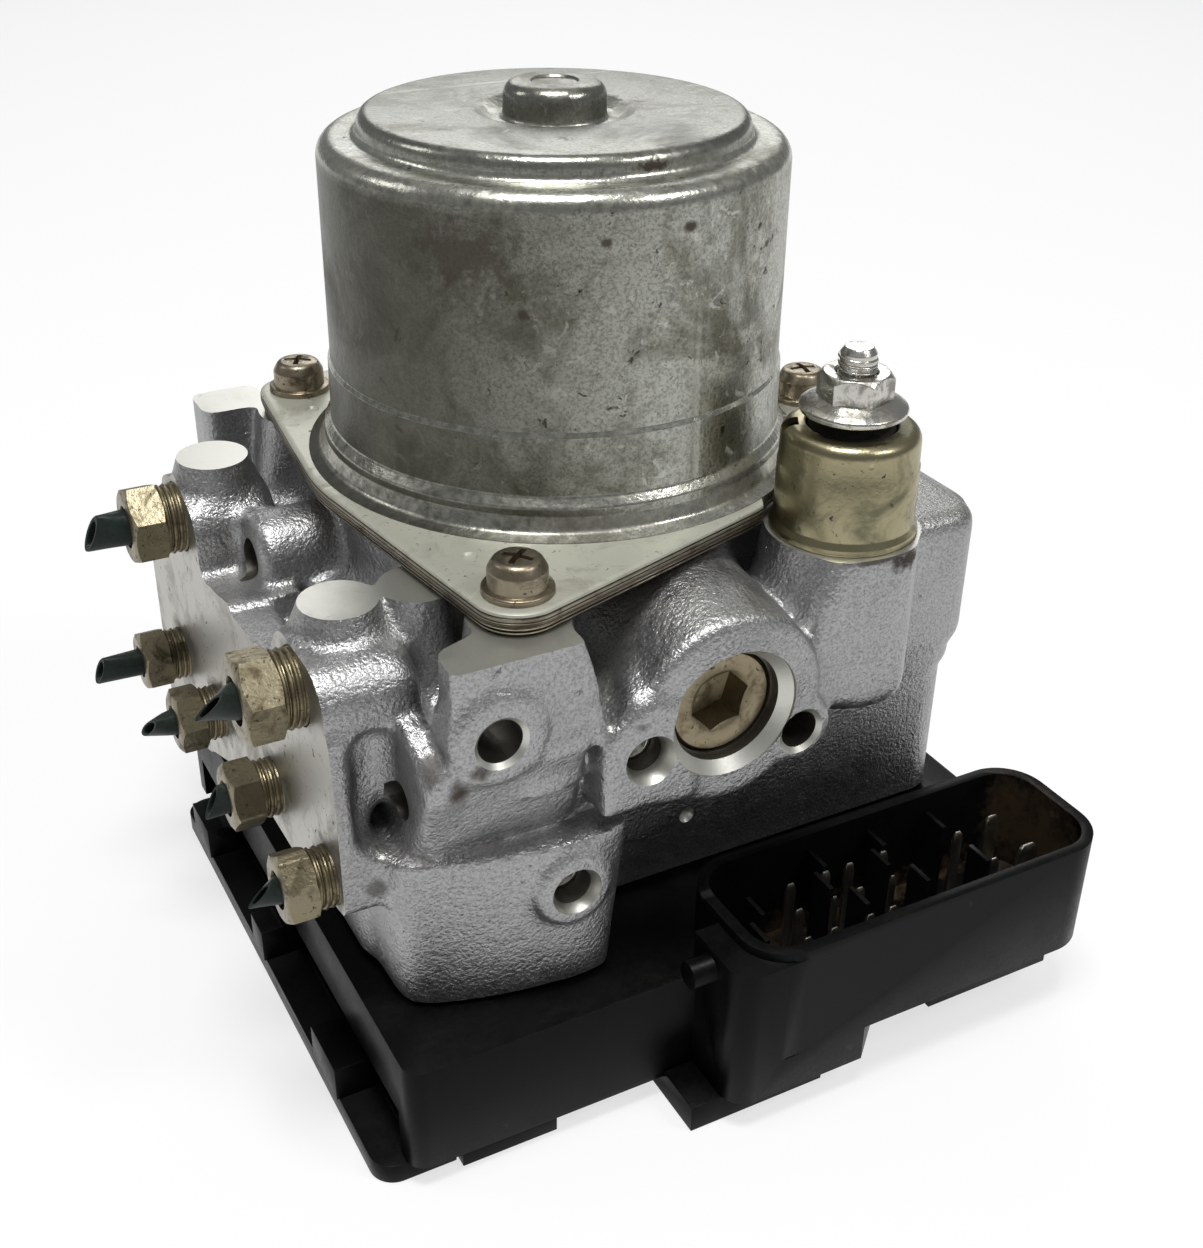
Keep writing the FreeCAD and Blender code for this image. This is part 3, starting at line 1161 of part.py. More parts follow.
def rounded_plan(sketch, left, right, front, back, radius):
    """A rectangle in plan with rounded corners: four lines and four arcs."""
    corners = [(right - radius, back - radius, 0), (left + radius, back - radius, 90),
               (left + radius, front + radius, 180), (right - radius, front + radius, 270)]
    first = sketch.GeometryCount
    pieces = []
    r = float(radius)
    for index, (x, y, start) in enumerate(corners):
        begin, end = math.radians(start), math.radians(start + 90)
        centre = Vector(float(x), float(y), 0)
        pieces.append(Part.ArcOfCircle(Part.Circle(centre, Vector(0, 0, 1), r), begin, end))
        after = corners[(index + 1) % 4]
        here_end = centre + Vector(r * math.cos(end), r * math.sin(end), 0)
        after_start = Vector(float(after[0]), float(after[1]), 0) + Vector(
            r * math.cos(end), r * math.sin(end), 0)
        pieces.append(Part.LineSegment(here_end, after_start))
    sketch.addGeometry(pieces, False)
    for place in range(8):
        here, after = first + place, first + (place + 1) % 8
        sketch.addConstraint(Sketcher.Constraint("Tangent", here, 2, after, 1))
    for index, (x, y, start) in enumerate(corners):
        arc = first + 2 * index
        fix(sketch, "DistanceX", -1, 1, arc, 3, x)
        fix(sketch, "DistanceY", -1, 1, arc, 3, y)
    fix(sketch, "Radius", first, radius)


# Middle of each guide rib on the floor of the connector
guide_rib_places = [
    (5.2, -60.0), (2.4, -65.5), (20.8, -54.4), (18.4, -59.7), (21.4, -65.4),
    (32.8, -54.4), (30.3, -59.0), (33.6, -65.2), (44.8, -55.0), (45.6, -65.6)]
housing_screw_radius = 2.0
housing_screw_places = [(-45.5, -33.0), (50.0, -33.0), (-45.5, 34.0), (50.0, 43.0)]


def controller_lid():
    """The lid under the housing, with its left flange, front foot and connector tongue."""
    lid = body("controller_lid")
    top = d.lid_depth
    front = d.housing_front + 6.0
    back = d.housing_back - 3.0
    pad(lid, "Z", (0, top), plan_rectangle(
        (d.housing_left + 2.0, d.housing_right - 2.0), (front, back)))
    pad(lid, "Z", (0, top - 0.2), plan_rectangle(
        (d.lid_left, d.housing_left + 8.0), (d.housing_front + 2.6, back - 4)))
    round_edges(lid, 4.0, lambda edge: upright(edge, 0, top) and
                edge.BoundBox.XMax < float(d.lid_left) + 0.1)
    pad(lid, "Z", (0, top), plan_rectangle((-47.0, -31.0), (d.housing_front + 1.0, front + 1)))
    pad(lid, "Z", (0, top + 1.2), plan_rectangle(
        (-12.6, 12.0), (d.shroud_front + 3.4, d.housing_front - 0.1)))
    pad(lid, "Z", (0, top), plan_rectangle((-12.6, 12.0), (d.housing_front - 0.2, front + 1)))
    pocket(lid, "Z", (d.lid_skin, top), plan_rectangle(
        (d.housing_left + 8.0, d.housing_right - 6.0), (front + 3.0, back - 3.0)))
    # clips that reach up the groove of the left wall
    for low, high in ((-44.0, -33.0), (-8.0, -2.0), (24.0, 34.0)):
        pad(lid, "Z", (top - 0.2, top + 6.0), plan_rectangle(
            (d.lid_left - 0.4, d.housing_left + 2.2), (low, high)))


def controller_inside():
    """Seal, circuit board and the four screws that hold the housing to the block."""
    seal = body("housing_seal")
    left, right = d.lower_left + 0.8, d.lower_right - 0.8
    front, back = d.lower_front + 0.8, d.housing_back - 0.8
    pad(seal, "Z", (deck_level, block_base), lambda sketch: rounded_plan(
        sketch, left, right, front, back, 8.0))
    pocket(seal, "Z", (deck_level, block_base), lambda sketch: rounded_plan(
        sketch, left + 2.4, right - 2.4, front + 2.4, back - 2.4, 5.6))
    board = body("circuit_board")
    low = d.lid_depth + 0.9
    wall = d.housing_wall + 0.5
    pad(board, "Z", (low, low + d.board_thickness), plan_rectangle(
        (d.housing_left + wall + 2.6, d.housing_right - wall),
        (d.housing_front + d.front_rim + 0.5, d.housing_back - wall)))
    for x, y in housing_screw_places:
        pocket(board, "Z", (low, low + d.board_thickness), lambda sketch, x=x, y=y: circle(
            sketch, x, y, 5.0))
    screws = []
    for index, (x, y) in enumerate(housing_screw_places):
        screw = inner(body("housing_screw_%d" % (index + 1)))
        head = d.lid_depth + 7.0
        pad(screw, "Z", (head, block_base + 8.0), lambda sketch, x=x, y=y: circle(
            sketch, x, y, housing_screw_radius))
        pad(screw, "Z", (head - 3.0, head), lambda sketch, x=x, y=y: circle(sketch, x, y, 3.4))
        screws.append(screw)
    group("housing_screws", screws)


# Connector contacts: X, Y and width of each, in three staggered rows
signal_pin_places = [
    (13.6, -57.5, 1.9), (20.4, -57.5, 1.9), (25.2, -57.5, 1.9), (32.0, -57.5, 1.9),
    (11.3, -63.4, 1.9), (18.1, -63.4, 1.0), (23.0, -63.4, 1.9), (29.6, -63.4, 1.0),
    (8.7, -69.6, 1.9), (13.7, -69.6, 1.9), (20.6, -69.6, 1.9), (25.0, -69.6, 1.9),
    (46.5, -59.0, 1.9), (47.3, -67.4, 1.9)]
power_blade_places = [(54.9, -67.0, 4.0), (54.7, -58.0, 3.0)]


def flat_contact(name, x, y, width, thickness):
    """One flat contact standing on the floor of the connector."""
    contact = doc.addObject("Part::Box", name)
    contact.setExpression("Length", as_size(width).formula)
    contact.setExpression("Width", thickness.formula)
    contact.setExpression("Height", (d.pin_top - d.shroud_floor).formula)
    contact.Placement = Placement(Vector(x - width / 2, y, 0), Rotation())
    contact.setExpression("Placement.Base.y", (y - thickness / 2).formula)
    contact.setExpression("Placement.Base.z", d.shroud_floor.formula)
    return contact


def contacts():
    """Signal pins and power blades."""
    group("signal_pins", [
        flat_contact("signal_pin_%d" % (index + 1), x, y, width, d.pin_thickness)
        for index, (x, y, width) in enumerate(signal_pin_places)])
    group("power_blades", [
        flat_contact("power_blade_%d" % (index + 1), x, y, width, d.blade_thickness)
        for index, (x, y, width) in enumerate(power_blade_places)])


def check_document():
    """Stop if any object failed or any sub-part is empty or broken."""
    faults = []
    for item in doc.Objects:
        if "Invalid" in item.State or "Error" in item.State:
            faults.append("%s is %s" % (item.Name, item.State))
    for part in parts:
        if part.Shape.isNull() or not part.Shape.isValid() or not part.Shape.Solids:
            faults.append("%s has no sound shape" % part.Name)
    if faults:
        raise RuntimeError("; ".join(faults))


def main():
    """Build every sub-part and write each to its own file."""
    hydraulic_block()
    motor_can()
    motor_end_plate()
    motor_screws()
    field_magnets()
    rotor_shaft()
    eccentric_ring()
    armature()
    bearings()
    brush_gear()
    pump_elements()
    accumulators()
    valves()
    line_fittings()
    channel_plugs()
    rubber_mount()
    controller_housing()
    controller_lid()
    controller_inside()
    contacts()
    doc.recompute()
    check_document()
    os.makedirs("parts", exist_ok=True)
    for part in parts:
        part.Shape.exportStep("parts/%s.step" % part.Name)
        print(part.Name, len(part.Shape.Solids), round(part.Shape.Volume, 1))


main()
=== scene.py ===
import bmesh
import bpy
import math
import numpy as np
from bpy.props import FloatProperty, FloatVectorProperty, PointerProperty
from mathutils import Matrix, Vector


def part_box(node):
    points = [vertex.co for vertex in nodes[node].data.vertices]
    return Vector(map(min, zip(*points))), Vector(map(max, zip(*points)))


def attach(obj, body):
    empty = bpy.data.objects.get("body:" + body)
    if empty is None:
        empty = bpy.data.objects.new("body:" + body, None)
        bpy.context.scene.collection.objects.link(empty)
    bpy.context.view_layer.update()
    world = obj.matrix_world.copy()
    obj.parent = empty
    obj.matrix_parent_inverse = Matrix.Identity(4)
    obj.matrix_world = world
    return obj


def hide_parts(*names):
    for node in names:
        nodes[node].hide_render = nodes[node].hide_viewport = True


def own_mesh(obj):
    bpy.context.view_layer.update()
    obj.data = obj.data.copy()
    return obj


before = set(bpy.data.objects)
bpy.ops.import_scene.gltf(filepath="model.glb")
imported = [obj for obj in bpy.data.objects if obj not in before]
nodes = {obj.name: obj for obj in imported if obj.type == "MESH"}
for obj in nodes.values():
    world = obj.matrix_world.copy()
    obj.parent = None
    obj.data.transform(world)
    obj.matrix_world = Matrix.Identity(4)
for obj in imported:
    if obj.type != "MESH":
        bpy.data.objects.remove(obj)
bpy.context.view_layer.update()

bl_info = {
    "name": "Brake Control Unit",
    "version": (1, 0, 0),
    "blender": (4, 5, 0),
    "location": "View3D > Sidebar > Brake Unit",
    "description": "Cast valve block with pump motor, cut brake pipes, rubber mount and controller",
    "category": "Object",
}

MM = 0.001
ROOT = "control_unit"

# Levels along Z, in millimetres
BLOCK_BASE = 24.0
LEDGE = 51.5
MOTOR_FACE = 84.2
FLANGE_BASE = 86.2
FLANGE_TOP = 88.0
FRONT_FACE = -57.0
PORT_FACE = -58.0
PUMP_HEIGHT = 66.2
MOUNT_AXIS = (27.9, -43.3)
SCREW_PLACES = [(-28.9, -46.1), (-31.4, 37.3), (45.9, -4.8)]
LARGE_PORTS = [(-34.5, 74.2), (25.0, 74.2)]
SMALL_PORTS = [(-43.0, 46.8), (-18.3, 46.8), (13.0, 42.4), (35.0, 42.4)]
VALVE_PLACES = [(21.0 * (column - 1.5), 34.0 * (row - 0.5)) for column in range(4) for row in range(2)]
ACCUMULATOR_PLACES = [(-31.0, -46.5), (-31.0, 43.5)]
HOUSING_SCREWS = [(-45.5, -33.0), (50.0, -33.0), (-45.5, 34.0), (50.0, 43.0)]
SEALED_CHANNELS = [(-14.2, 62.7), (-25.9, 43.0)]
BRACKET_HOLE = (-37.2, 72.3)
LOCATING_HOLE = (12.6, 59.1)
EAR_HOLES = [(-46.6, 59.0), (9.6, 71.8)]
PLUG_FACE = FRONT_FACE + 2.4
PIPE_START = -61.5
SHROUD_LEFT, SHROUD_FRONT, SHROUD_TOP = -3.2, -75.7, 31.0

# Radii of the bores, in millimetres
PLUG_RECESS = 8.95
PLUG_SEAT = 8.62
PUMP_BORE = 6.02
PISTON_BORE = 3.55
MOTOR_BORE = 13.2
CAN_BORE = 34.2
BRACKET_BORE = 3.4
LOCATING_BORE = 3.1
EAR_BORES = (3.0, 3.4)
CHANNEL_BORE = 3.05
STUD_BORE = 3.02
LARGE_PORT_BORE = 6.02
SMALL_PORT_BORE = 3.9
MOTOR_SCREW_BORE = 2.52
VALVE_COLLAR_BORE, VALVE_BORE = 7.0, 5.02
ACCUMULATOR_BORE = 8.05
HOUSING_SCREW_BORE = 2.02

# The photograph's camera: height and focal length in pixels, sensor in millimetres, turn, rise and roll
# in degrees, place in metres
PHOTO_HEIGHT = 1248
FOCAL_LENGTH = 1635.46
SENSOR_WIDTH = 36
CAMERA_ANGLES = (-28.58, 30.13, 0.91)
CAMERA_PLACE = (-0.113, -0.2247, 0.1972)


# Distance field of the casting
def smooth_min(a, b, k):
    """Lower of two distances, with a fillet about k wide where they meet."""
    if k <= 0:
        return np.minimum(a, b)
    h = np.maximum(k - np.abs(a - b), 0.0) / k
    return np.minimum(a, b) - h * h * k * 0.25


def smooth_max(a, b, k):
    """Higher of two distances, with a rounding about k wide."""
    return -smooth_min(-a, -b, k)


def disc(u, v, radius):
    """A round outline."""
    return ("disc", u, v, radius), (u - radius, v - radius, u + radius, v + radius)


def rect(u0, u1, v0, v1, corner=0.0):
    """A rectangular outline with rounded corners."""
    return ("rect", u0, u1, v0, v1, corner), (u0, v0, u1, v1)


def hull(points, corner=0.0):
    """A convex outline, its points anticlockwise, with rounded corners."""
    us = [p[0] for p in points]
    vs = [p[1] for p in points]
    return ("hull", points, corner), (min(us), min(vs), max(us), max(vs))


def outline_distance(shape, u, v):
    """Distance from an outline, in its own plane."""
    kind = shape[0]
    if kind == "disc":
        return np.hypot(u - shape[1], v - shape[2]) - shape[3]
    if kind == "rect":
        u0, u1, v0, v1, corner = shape[1:]
        du = np.abs(u - (u0 + u1) / 2) - (u1 - u0) / 2 + corner
        dv = np.abs(v - (v0 + v1) / 2) - (v1 - v0) / 2 + corner
        return np.hypot(np.maximum(du, 0), np.maximum(dv, 0)) + np.minimum(np.maximum(du, dv), 0) - corner
    points, corner = shape[1:]
    result = None
    for index, (pu, pv) in enumerate(points):
        qu, qv = points[(index + 1) % len(points)]
        length = math.hypot(qu - pu, qv - pv)
        side = ((u - pu) * (qv - pv) - (v - pv) * (qu - pu)) / length
        result = side if result is None else smooth_max(result, side, corner)
    return result


class Form:
    """A prism of an outline along an axis, with a rounded rim and an optional draft."""

    def __init__(self, axis, outline, span, edge=1.0, draft=0.0):
        self.axis = "XYZ".index(axis)
        self.shape, flat_box = outline
        self.span = span
        self.edge = edge
        self.draft = draft
        grow = abs(draft) * (span[1] - span[0])
        low, high = [0, 0, 0], [0, 0, 0]
        others = [i for i in range(3) if i != self.axis]
        low[self.axis], high[self.axis] = span
        for place, i in enumerate(others):
            low[i], high[i] = flat_box[place] - grow, flat_box[place + 2] + grow
        self.low, self.high = low, high
        self.others = others

    def distance(self, grid):
        flat = outline_distance(self.shape, grid[self.others[0]], grid[self.others[1]])
        along = grid[self.axis]
        flat = flat - self.draft * (self.span[1] - along)
        ends = np.abs(along - sum(self.span) / 2) - (self.span[1] - self.span[0]) / 2
        return smooth_max(flat, ends, self.edge)


class Limb:
    """A round-ended bar between two points, its radius changing along it."""

    def __init__(self, start, end, first, last):
        self.start, self.end, self.radii = start, end, (first, last)
        most = max(first, last)
        self.low = [min(a, b) - most for a, b in zip(start, end)]
        self.high = [max(a, b) + most for a, b in zip(start, end)]

    def distance(self, grid):
        line = [b - a for a, b in zip(self.start, self.end)]
        total = sum(c * c for c in line)
        t = sum((grid[i] - self.start[i]) * line[i] for i in range(3)) / total
        t = np.clip(t, 0, 1)
        away = sum((grid[i] - self.start[i] - t * line[i]) ** 2 for i in range(3))
        return np.sqrt(away) - (self.radii[0] + (self.radii[1] - self.radii[0]) * t)


class Meet:
    """What two forms share."""

    def __init__(self, one, two, edge=1.0):
        self.one, self.two, self.edge = one, two, edge
        self.low = [max(a, b) for a, b in zip(one.low, two.low)]
        self.high = [min(a, b) for a, b in zip(one.high, two.high)]

    def distance(self, grid):
        return smooth_max(self.one.distance(grid), self.two.distance(grid), self.edge)


class Casting:
    """A grid of distances that forms are added to and taken from."""

    def __init__(self, low, high, step):
        self.low = low
        self.step = step
        self.axes = [np.arange(low[i], high[i] + step / 2, step) for i in range(3)]
        self.field = np.full([len(a) for a in self.axes], 30.0)

    def window(self, form, margin):
        cuts = []
        for i in range(3):
            start = np.searchsorted(self.axes[i], form.low[i] - margin)
            stop = np.searchsorted(self.axes[i], form.high[i] + margin)
            cuts.append(slice(start, stop))
        grid = [self.axes[0][cuts[0]][:, None, None], self.axes[1][cuts[1]][None, :, None],
                self.axes[2][cuts[2]][None, None, :]]
        return tuple(cuts), grid

    def add(self, form, blend=0.0):
        cuts, grid = self.window(form, blend + 3.0)
        self.field[cuts] = smooth_min(self.field[cuts], form.distance(grid), blend)

    def cut(self, form, blend=0.0):
        cuts, grid = self.window(form, blend + 3.0)
        self.field[cuts] = smooth_max(self.field[cuts], -form.distance(grid), blend)

    def surface(self):
        """Vertices and quads of the zero surface, one vertex for each cell it crosses."""
        field, step = self.field, self.step
        inside = field < 0
        shape = [n - 1 for n in field.shape]
        count = np.zeros(shape, dtype=np.int8)
        for a in (0, 1):
            for b in (0, 1):
                for c in (0, 1):
                    count += inside[a:a + shape[0], b:b + shape[1], c:c + shape[2]]
        active = (count > 0) & (count < 8)
        cells = np.argwhere(active)
        number = np.full(shape, -1, dtype=np.int64)
        number[active] = np.arange(len(cells))
        total = np.zeros((len(cells), 3))
        hits = np.zeros(len(cells))
        for axis in range(3):
            p, q = [i for i in range(3) if i != axis]
            for a in (0, 1):
                for b in (0, 1):
                    corner = cells.copy()
                    corner[:, p] += a
                    corner[:, q] += b
                    beyond = corner.copy()
                    beyond[:, axis] += 1
                    f0 = field[tuple(corner.T)]
                    f1 = field[tuple(beyond.T)]
                    crossed = (f0 < 0) != (f1 < 0)
                    t = np.where(crossed, f0 / np.where(crossed, f0 - f1, 1.0), 0.0)
                    point = corner.astype(float)
                    point[:, axis] += t
                    total[crossed] += point[crossed]
                    hits[crossed] += 1
        points = total / hits[:, None] * step + np.array(self.low)
        quads = []
        for axis in range(3):
            p, q = (axis + 1) % 3, (axis + 2) % 3
            head = [slice(0, None)] * 3
            tail = [slice(0, None)] * 3
            head[axis], tail[axis] = slice(0, -1), slice(1, None)
            start, end = inside[tuple(head)], inside[tuple(tail)]
            edges = np.argwhere(start != end)
            keep = (edges[:, p] > 0) & (edges[:, q] > 0) & (edges[:, p] < shape[p]) & \
                (edges[:, q] < shape[q]) & (edges[:, axis] < shape[axis])
            edges = edges[keep]
            ring = []
            for a, b in ((1, 1), (0, 1), (0, 0), (1, 0)):
                cell = edges.copy()
                cell[:, p] -= a
                cell[:, q] -= b
                ring.append(number[tuple(cell.T)])
            ring = np.stack(ring, axis=1)
            flip = ~start[tuple(edges.T)]
            ring[flip] = ring[flip][:, ::-1]
            quads.append(ring)
        return points, np.concatenate(quads)


# Forms of the cast block, in the order they are joined: form, fillet width
def cast_forms():
    """Every cast form of the block."""
    lower = (BLOCK_BASE - 6, LEDGE + 1)
    high = MOTOR_FACE + 4
    forms = [
        (Form("Z", rect(-51.4, 57.5, -40, 52, 6), lower, 2), 0),
        (Form("Z", hull([(-52.6, -30), (-52.2, -49.4), (-50.4, -52.4), (-46.2, -54.4), (-38.4, -56.8),
                         (-29.5, -58.2), (-21.6, -58.6), (-16.4, -56.8), (-14.6, -50), (-14.6, -30)], 2.0),
              (BLOCK_BASE - 6, LEDGE), 0.7, -0.08), 1.5),
        (Form("Z", disc(-31, 43.5, 10.8), (BLOCK_BASE - 6, LEDGE), 1.5), 3),
        (Form("Y", disc(-25.9, 43.0, 6.0), (-58.7, -45), 1.0), 2.2),
        # upper body, its raised right end and the boss on it
        (Form("Z", rect(-44.4, 58.0, -41.0, 52, 6), (LEDGE - 2, 70), 3), 1.5),
        (Form("Z", rect(31, 59.1, -41.6, 26, 5.5), (54, 79.2), 3.5), 1.5),
        (Form("Z", rect(-20, 59.1, 10, 52, 6), (54, 74), 3.5), 1.5),
        (Form("X", rect(-36, -9, 57.6, 77.6, 5), (50, 62), 2.4), 2),
        # motor seat and screw bosses
        (Form("Z", disc(0, 0, 36.5), (50, high), 0.5), 6),
    ]
    forms += [(Form("Z", disc(x, y, 7.0), (60, high), 0.5, 0.12), 4) for x, y in SCREW_PLACES]
    forms += [
        (Form("Z", disc(-38.0, -31.5, 5.1), (66, high), 0.5, 0.16), 3),
        # left wall with the line ports and its two towers
        (Form("X", hull([(-48.6, 42.8), (-28, 38.6), (2, 38), (2, 70.6), (-22, 70.6), (-46, 72),
                         (-48.2, 60)], 1.0), (-62, -51), 0.8), 2.0),
        (Form("X", hull([(-2, 38.4), (26, 27), (26, 65.2), (-2, 70.6)], 0.6), (-62, -46), 0.8), 1.5),
        (Form("X", hull([(22, 28.5), (28, 26.2), (51, 25.4), (51, 64.3), (22, 65.3)], 1.5),
              (-62, -46), 0.8), 1.5),
        (Form("Z", rect(-56, -30, -26, 20, 3), (50, 65.8), 1), 2),
        (Form("X", rect(-46.2, -24.4, 56, 80.4, 6.5), (-62, -42.5), 5), 3.5),
        (Form("Z", disc(-49.8, -31.0, 4.1), (74, high), 0.3, 0.42), 1.6),
        (Form("X", rect(14.5, 35.5, 56, 79.6, 6), (-62, -43), 5), 3.5),
        (Form("Z", disc(-51.3, 24.8, 4.5), (74, high), 0.3, 0.34), 1.6),
        (Form("X", disc(9.6, 71.6, 7.6), (-50.5, -33), 2.4), 2.5),
        # pad block with the bracket hole and the band under it
        (Meet(Form("Y", hull([(-44.6, 66.6), (-18.2, 66.6), (-19.2, 72), (-22.2, 79.7),
                         (-23.7, high), (-43.5, high)], 1.2), (-57.2, -36), 1.0),
              Form("Z", hull([(-44.9, -60), (-20.5, -60), (-16.6, -56.2), (-14, -52), (-14, -40),
                              (-30, -45.4), (-43.2, -50.3), (-44.9, -55)], 1.6), (60, high + 4), 1.0),
              1.0), 1.8),
        (Form("Y", disc(-37.2, 72.6, 7.3), (-58.2, -50), 1.3), 1.2),
        (Form("X", hull([(-57.6, 67.4), (-52.0, LEDGE - 1), (-38, LEDGE - 1), (-38, 69.5),
                         (-57.4, 69.5)], 0.8), (-47.0, -23.2), 1.6), 1.0),
        (Form("X", hull([(-53.0, 68.0), (-51.6, LEDGE - 1), (-38, LEDGE - 1), (-38, 69.5),
                         (-52.0, 69.5)], 0.8), (-26, -12), 1.4), 1.2),
        # ear that faces left
        (Meet(Form("X", disc(-44.4, 59.4, 13.6), (-48.7, -43.6), 1.7),
              Form("X", hull([(-49.4, 50), (-30, 50), (-30, 76), (-58.6, 76), (-58.0, 66.5)], 0.8),
                   (-48.7, -40), 1.2), 1.2), 1.4),
        # lug of the sealed channel
        (Form("Y", disc(-14.2, 63.9, 7.4), (-58.7, -38), 1.2), 1.2),
        (Form("Y", rect(-21.7, -6.7, 54.2, 64, 1.2), (-58.7, -38), 1.2), 0.8),
        (Limb((-15.4, -56.0, 71.0), (-13.6, -52, 71.6), 2.2, 2.4), 1.6),
        # pump boss with the shoulder behind it, tab and block under the mount
        (Form("Y", disc(0, PUMP_HEIGHT, 15.6), (-57.9, -34), 1.8), 2.5),
        (Limb((1.0, -47.5, 69.0), (2.0, -32, 71), 12.6, 12.8), 5),
        (Form("Y", disc(12.6, 59.1, 5.3), (-58.0, -42), 1.3), 1.2),
        (Meet(Form("Y", hull([(6, 59.2), (33.2, 59.2), (33.2, high), (17.6, high), (16.4, 80.5),
                              (9, 72.5), (4.8, 65)], 2.5), (-57.3, -36), 1.5),
              Form("X", hull([(-57.3, 58), (-36, 58), (-36, high), (-54.6, high), (-54.9, 84),
                              (-57.2, 77)], 2.5), (0, 36), 1.0), 3.0), 2.6),
        (Form("Z", disc(*MOUNT_AXIS, 12.0), (58, high), 0.5), 3),
        # back
        (Form("Y", disc(0, PUMP_HEIGHT, 15.6), (34, 57.9), 1.8), 2.5),
        (Form("Z", rect(-47.4, -35.6, 42, 52, 2.5), (50, high), 0.5), 3),
    ]
    return forms


def cast_hollows():
    """Hollows that the mould leaves: form, rounding width."""
    return [
        (Form("Y", rect(-54.9, -48.6, LEDGE + 0.9, 71, 3.0), (-80, -43.6), 3), 2.4),
    ]


# Mesh helpers
def mesh_from(name, points, faces):
    """A mesh from points in millimetres."""
    mesh = bpy.data.meshes.new(name)
    mesh.from_pydata([tuple(c * MM for c in p) for p in points], [], [tuple(f) for f in faces])
    mesh.update()
    return mesh


def big_mesh(name, points, quads):
    """A mesh from arrays, points in millimetres."""
    mesh = bpy.data.meshes.new(name)
    mesh.vertices.add(len(points))
    mesh.vertices.foreach_set("co", (points * MM).ravel())
    mesh.loops.add(quads.size)
    mesh.loops.foreach_set("vertex_index", quads.ravel().astype(np.int32))
    mesh.polygons.add(len(quads))
    mesh.polygons.foreach_set("loop_start", np.arange(0, quads.size, 4, dtype=np.int32))
    mesh.update(calc_edges=True)
    return mesh


def put(name, mesh):
    """A new object in the scene, at the origin."""
    made = bpy.data.objects.new(name, mesh)
    bpy.context.scene.collection.objects.link(made)
    return made


def bake_modifiers(made):
    """Turn an object's modifiers into its mesh."""
    graph = bpy.context.evaluated_depsgraph_get()
    graph.update()
    mesh = bpy.data.meshes.new_from_object(made.evaluated_get(graph))
    old = made.data
    made.modifiers.clear()
    made.data = mesh
    mesh.name = made.name
    if old.users == 0:
        bpy.data.meshes.remove(old)


def join_meshes(meshes):
    """One mesh from several."""
    build = bmesh.new()
    for mesh in meshes:
        build.from_mesh(mesh)
    joined = bpy.data.meshes.new("joined")
    build.to_mesh(joined)
    build.free()
    for mesh in meshes:
        bpy.data.meshes.remove(mesh)
    return joined


def carve(made, cutter_meshes, solver="MANIFOLD", operation="DIFFERENCE"):
    """Cut meshes that don't touch each other out of an object."""
    cutter = put("cutter", join_meshes(cutter_meshes))
    change = made.modifiers.new("cut", "BOOLEAN")
    change.operation = operation
    change.solver = solver
    change.object = cutter
    bake_modifiers(made)
    data = cutter.data
    bpy.data.objects.remove(cutter)
    bpy.data.meshes.remove(data)


def shade(made, angle=32.0):
    """Smooth shading that keeps edges sharper than the angle."""
    mesh = made.data
    mesh.polygons.foreach_set("use_smooth", [True] * len(mesh.polygons))
    mesh.set_sharp_from_angle(angle=math.radians(angle))
    mesh.update()


def soften(made, width, angle):
    """Round an object's edges that are sharper than the angle."""
    change = made.modifiers.new("edge", "BEVEL")
    change.width = width * MM
    change.segments = 2
    change.limit_method = "ANGLE"
    change.angle_limit = math.radians(angle)
    change.use_clamp_overlap = True
    bake_modifiers(made)


def rounded(points, closed=True, steps=5):
    """A path with its corners rounded: each point is (u, v) or (u, v, radius)."""
    count = len(points)
    path = []
    for index in range(count):
        point = points[index]
        u, v = point[0], point[1]
        radius = point[2] if len(point) > 2 else 0.0
        if radius <= 0 or (not closed and index in (0, count - 1)):
            path.append((u, v))
            continue
        before = Vector(points[index - 1][:2])
        after = Vector(points[(index + 1) % count][:2])
        here = Vector((u, v))
        a, b = (before - here).normalized(), (after - here).normalized()
        half = a.angle(b) / 2
        reach = min(radius / math.tan(half), (before - here).length * 0.49, (after - here).length * 0.49)
        radius = reach * math.tan(half)
        centre = here + (a + b).normalized() * radius / math.sin(half)
        first = here + a * reach - centre
        last = here + b * reach - centre
        turn = first.angle_signed(last)
        for step in range(steps + 1):
            angle = turn * step / steps
            c, s = math.cos(-angle), math.sin(-angle)
            spun = Vector((first.x * c - first.y * s, first.x * s + first.y * c))
            path.append(tuple(centre + spun))
    return path


def lift(axis, u, v, along, place=(0, 0, 0)):
    """The point of an outline's (u, v) at a distance along an axis."""
    spot = {"X": (along, u, v), "Y": (u, along, v), "Z": (u, v, along)}[axis]
    return tuple(s + p for s, p in zip(spot, place))


def turned(profile, segments=96, axis="Z", place=(0, 0, 0), closed=False):
    """A turned mesh from a profile of (radius, height); closed joins its ends."""
    points, rows = [], []
    for radius, height in profile:
        if radius < 1e-6:
            rows.append([len(points)] * segments)
            points.append(lift(axis, 0, 0, height, place))
            continue
        rows.append(list(range(len(points), len(points) + segments)))
        for step in range(segments):
            angle = 2 * math.pi * step / segments
            points.append(lift(axis, radius * math.cos(angle), radius * math.sin(angle), height, place))
    faces = []
    pairs = list(zip(rows, rows[1:]))
    if closed:
        pairs.append((rows[-1], rows[0]))
    for low, high in pairs:
        for step in range(segments):
            after = (step + 1) % segments
            corner = [low[step], low[after], high[after], high[step]]
            face = [c for i, c in enumerate(corner) if c not in corner[:i]]
            if len(face) > 2:
                faces.append(face)
    return outward(mesh_from("turned", points, faces))


def outward(mesh):
    """Faces of a closed mesh turned outwards."""
    build = bmesh.new()
    build.from_mesh(mesh)
    bmesh.ops.recalc_face_normals(build, faces=build.faces)
    build.to_mesh(mesh)
    build.free()
    return mesh


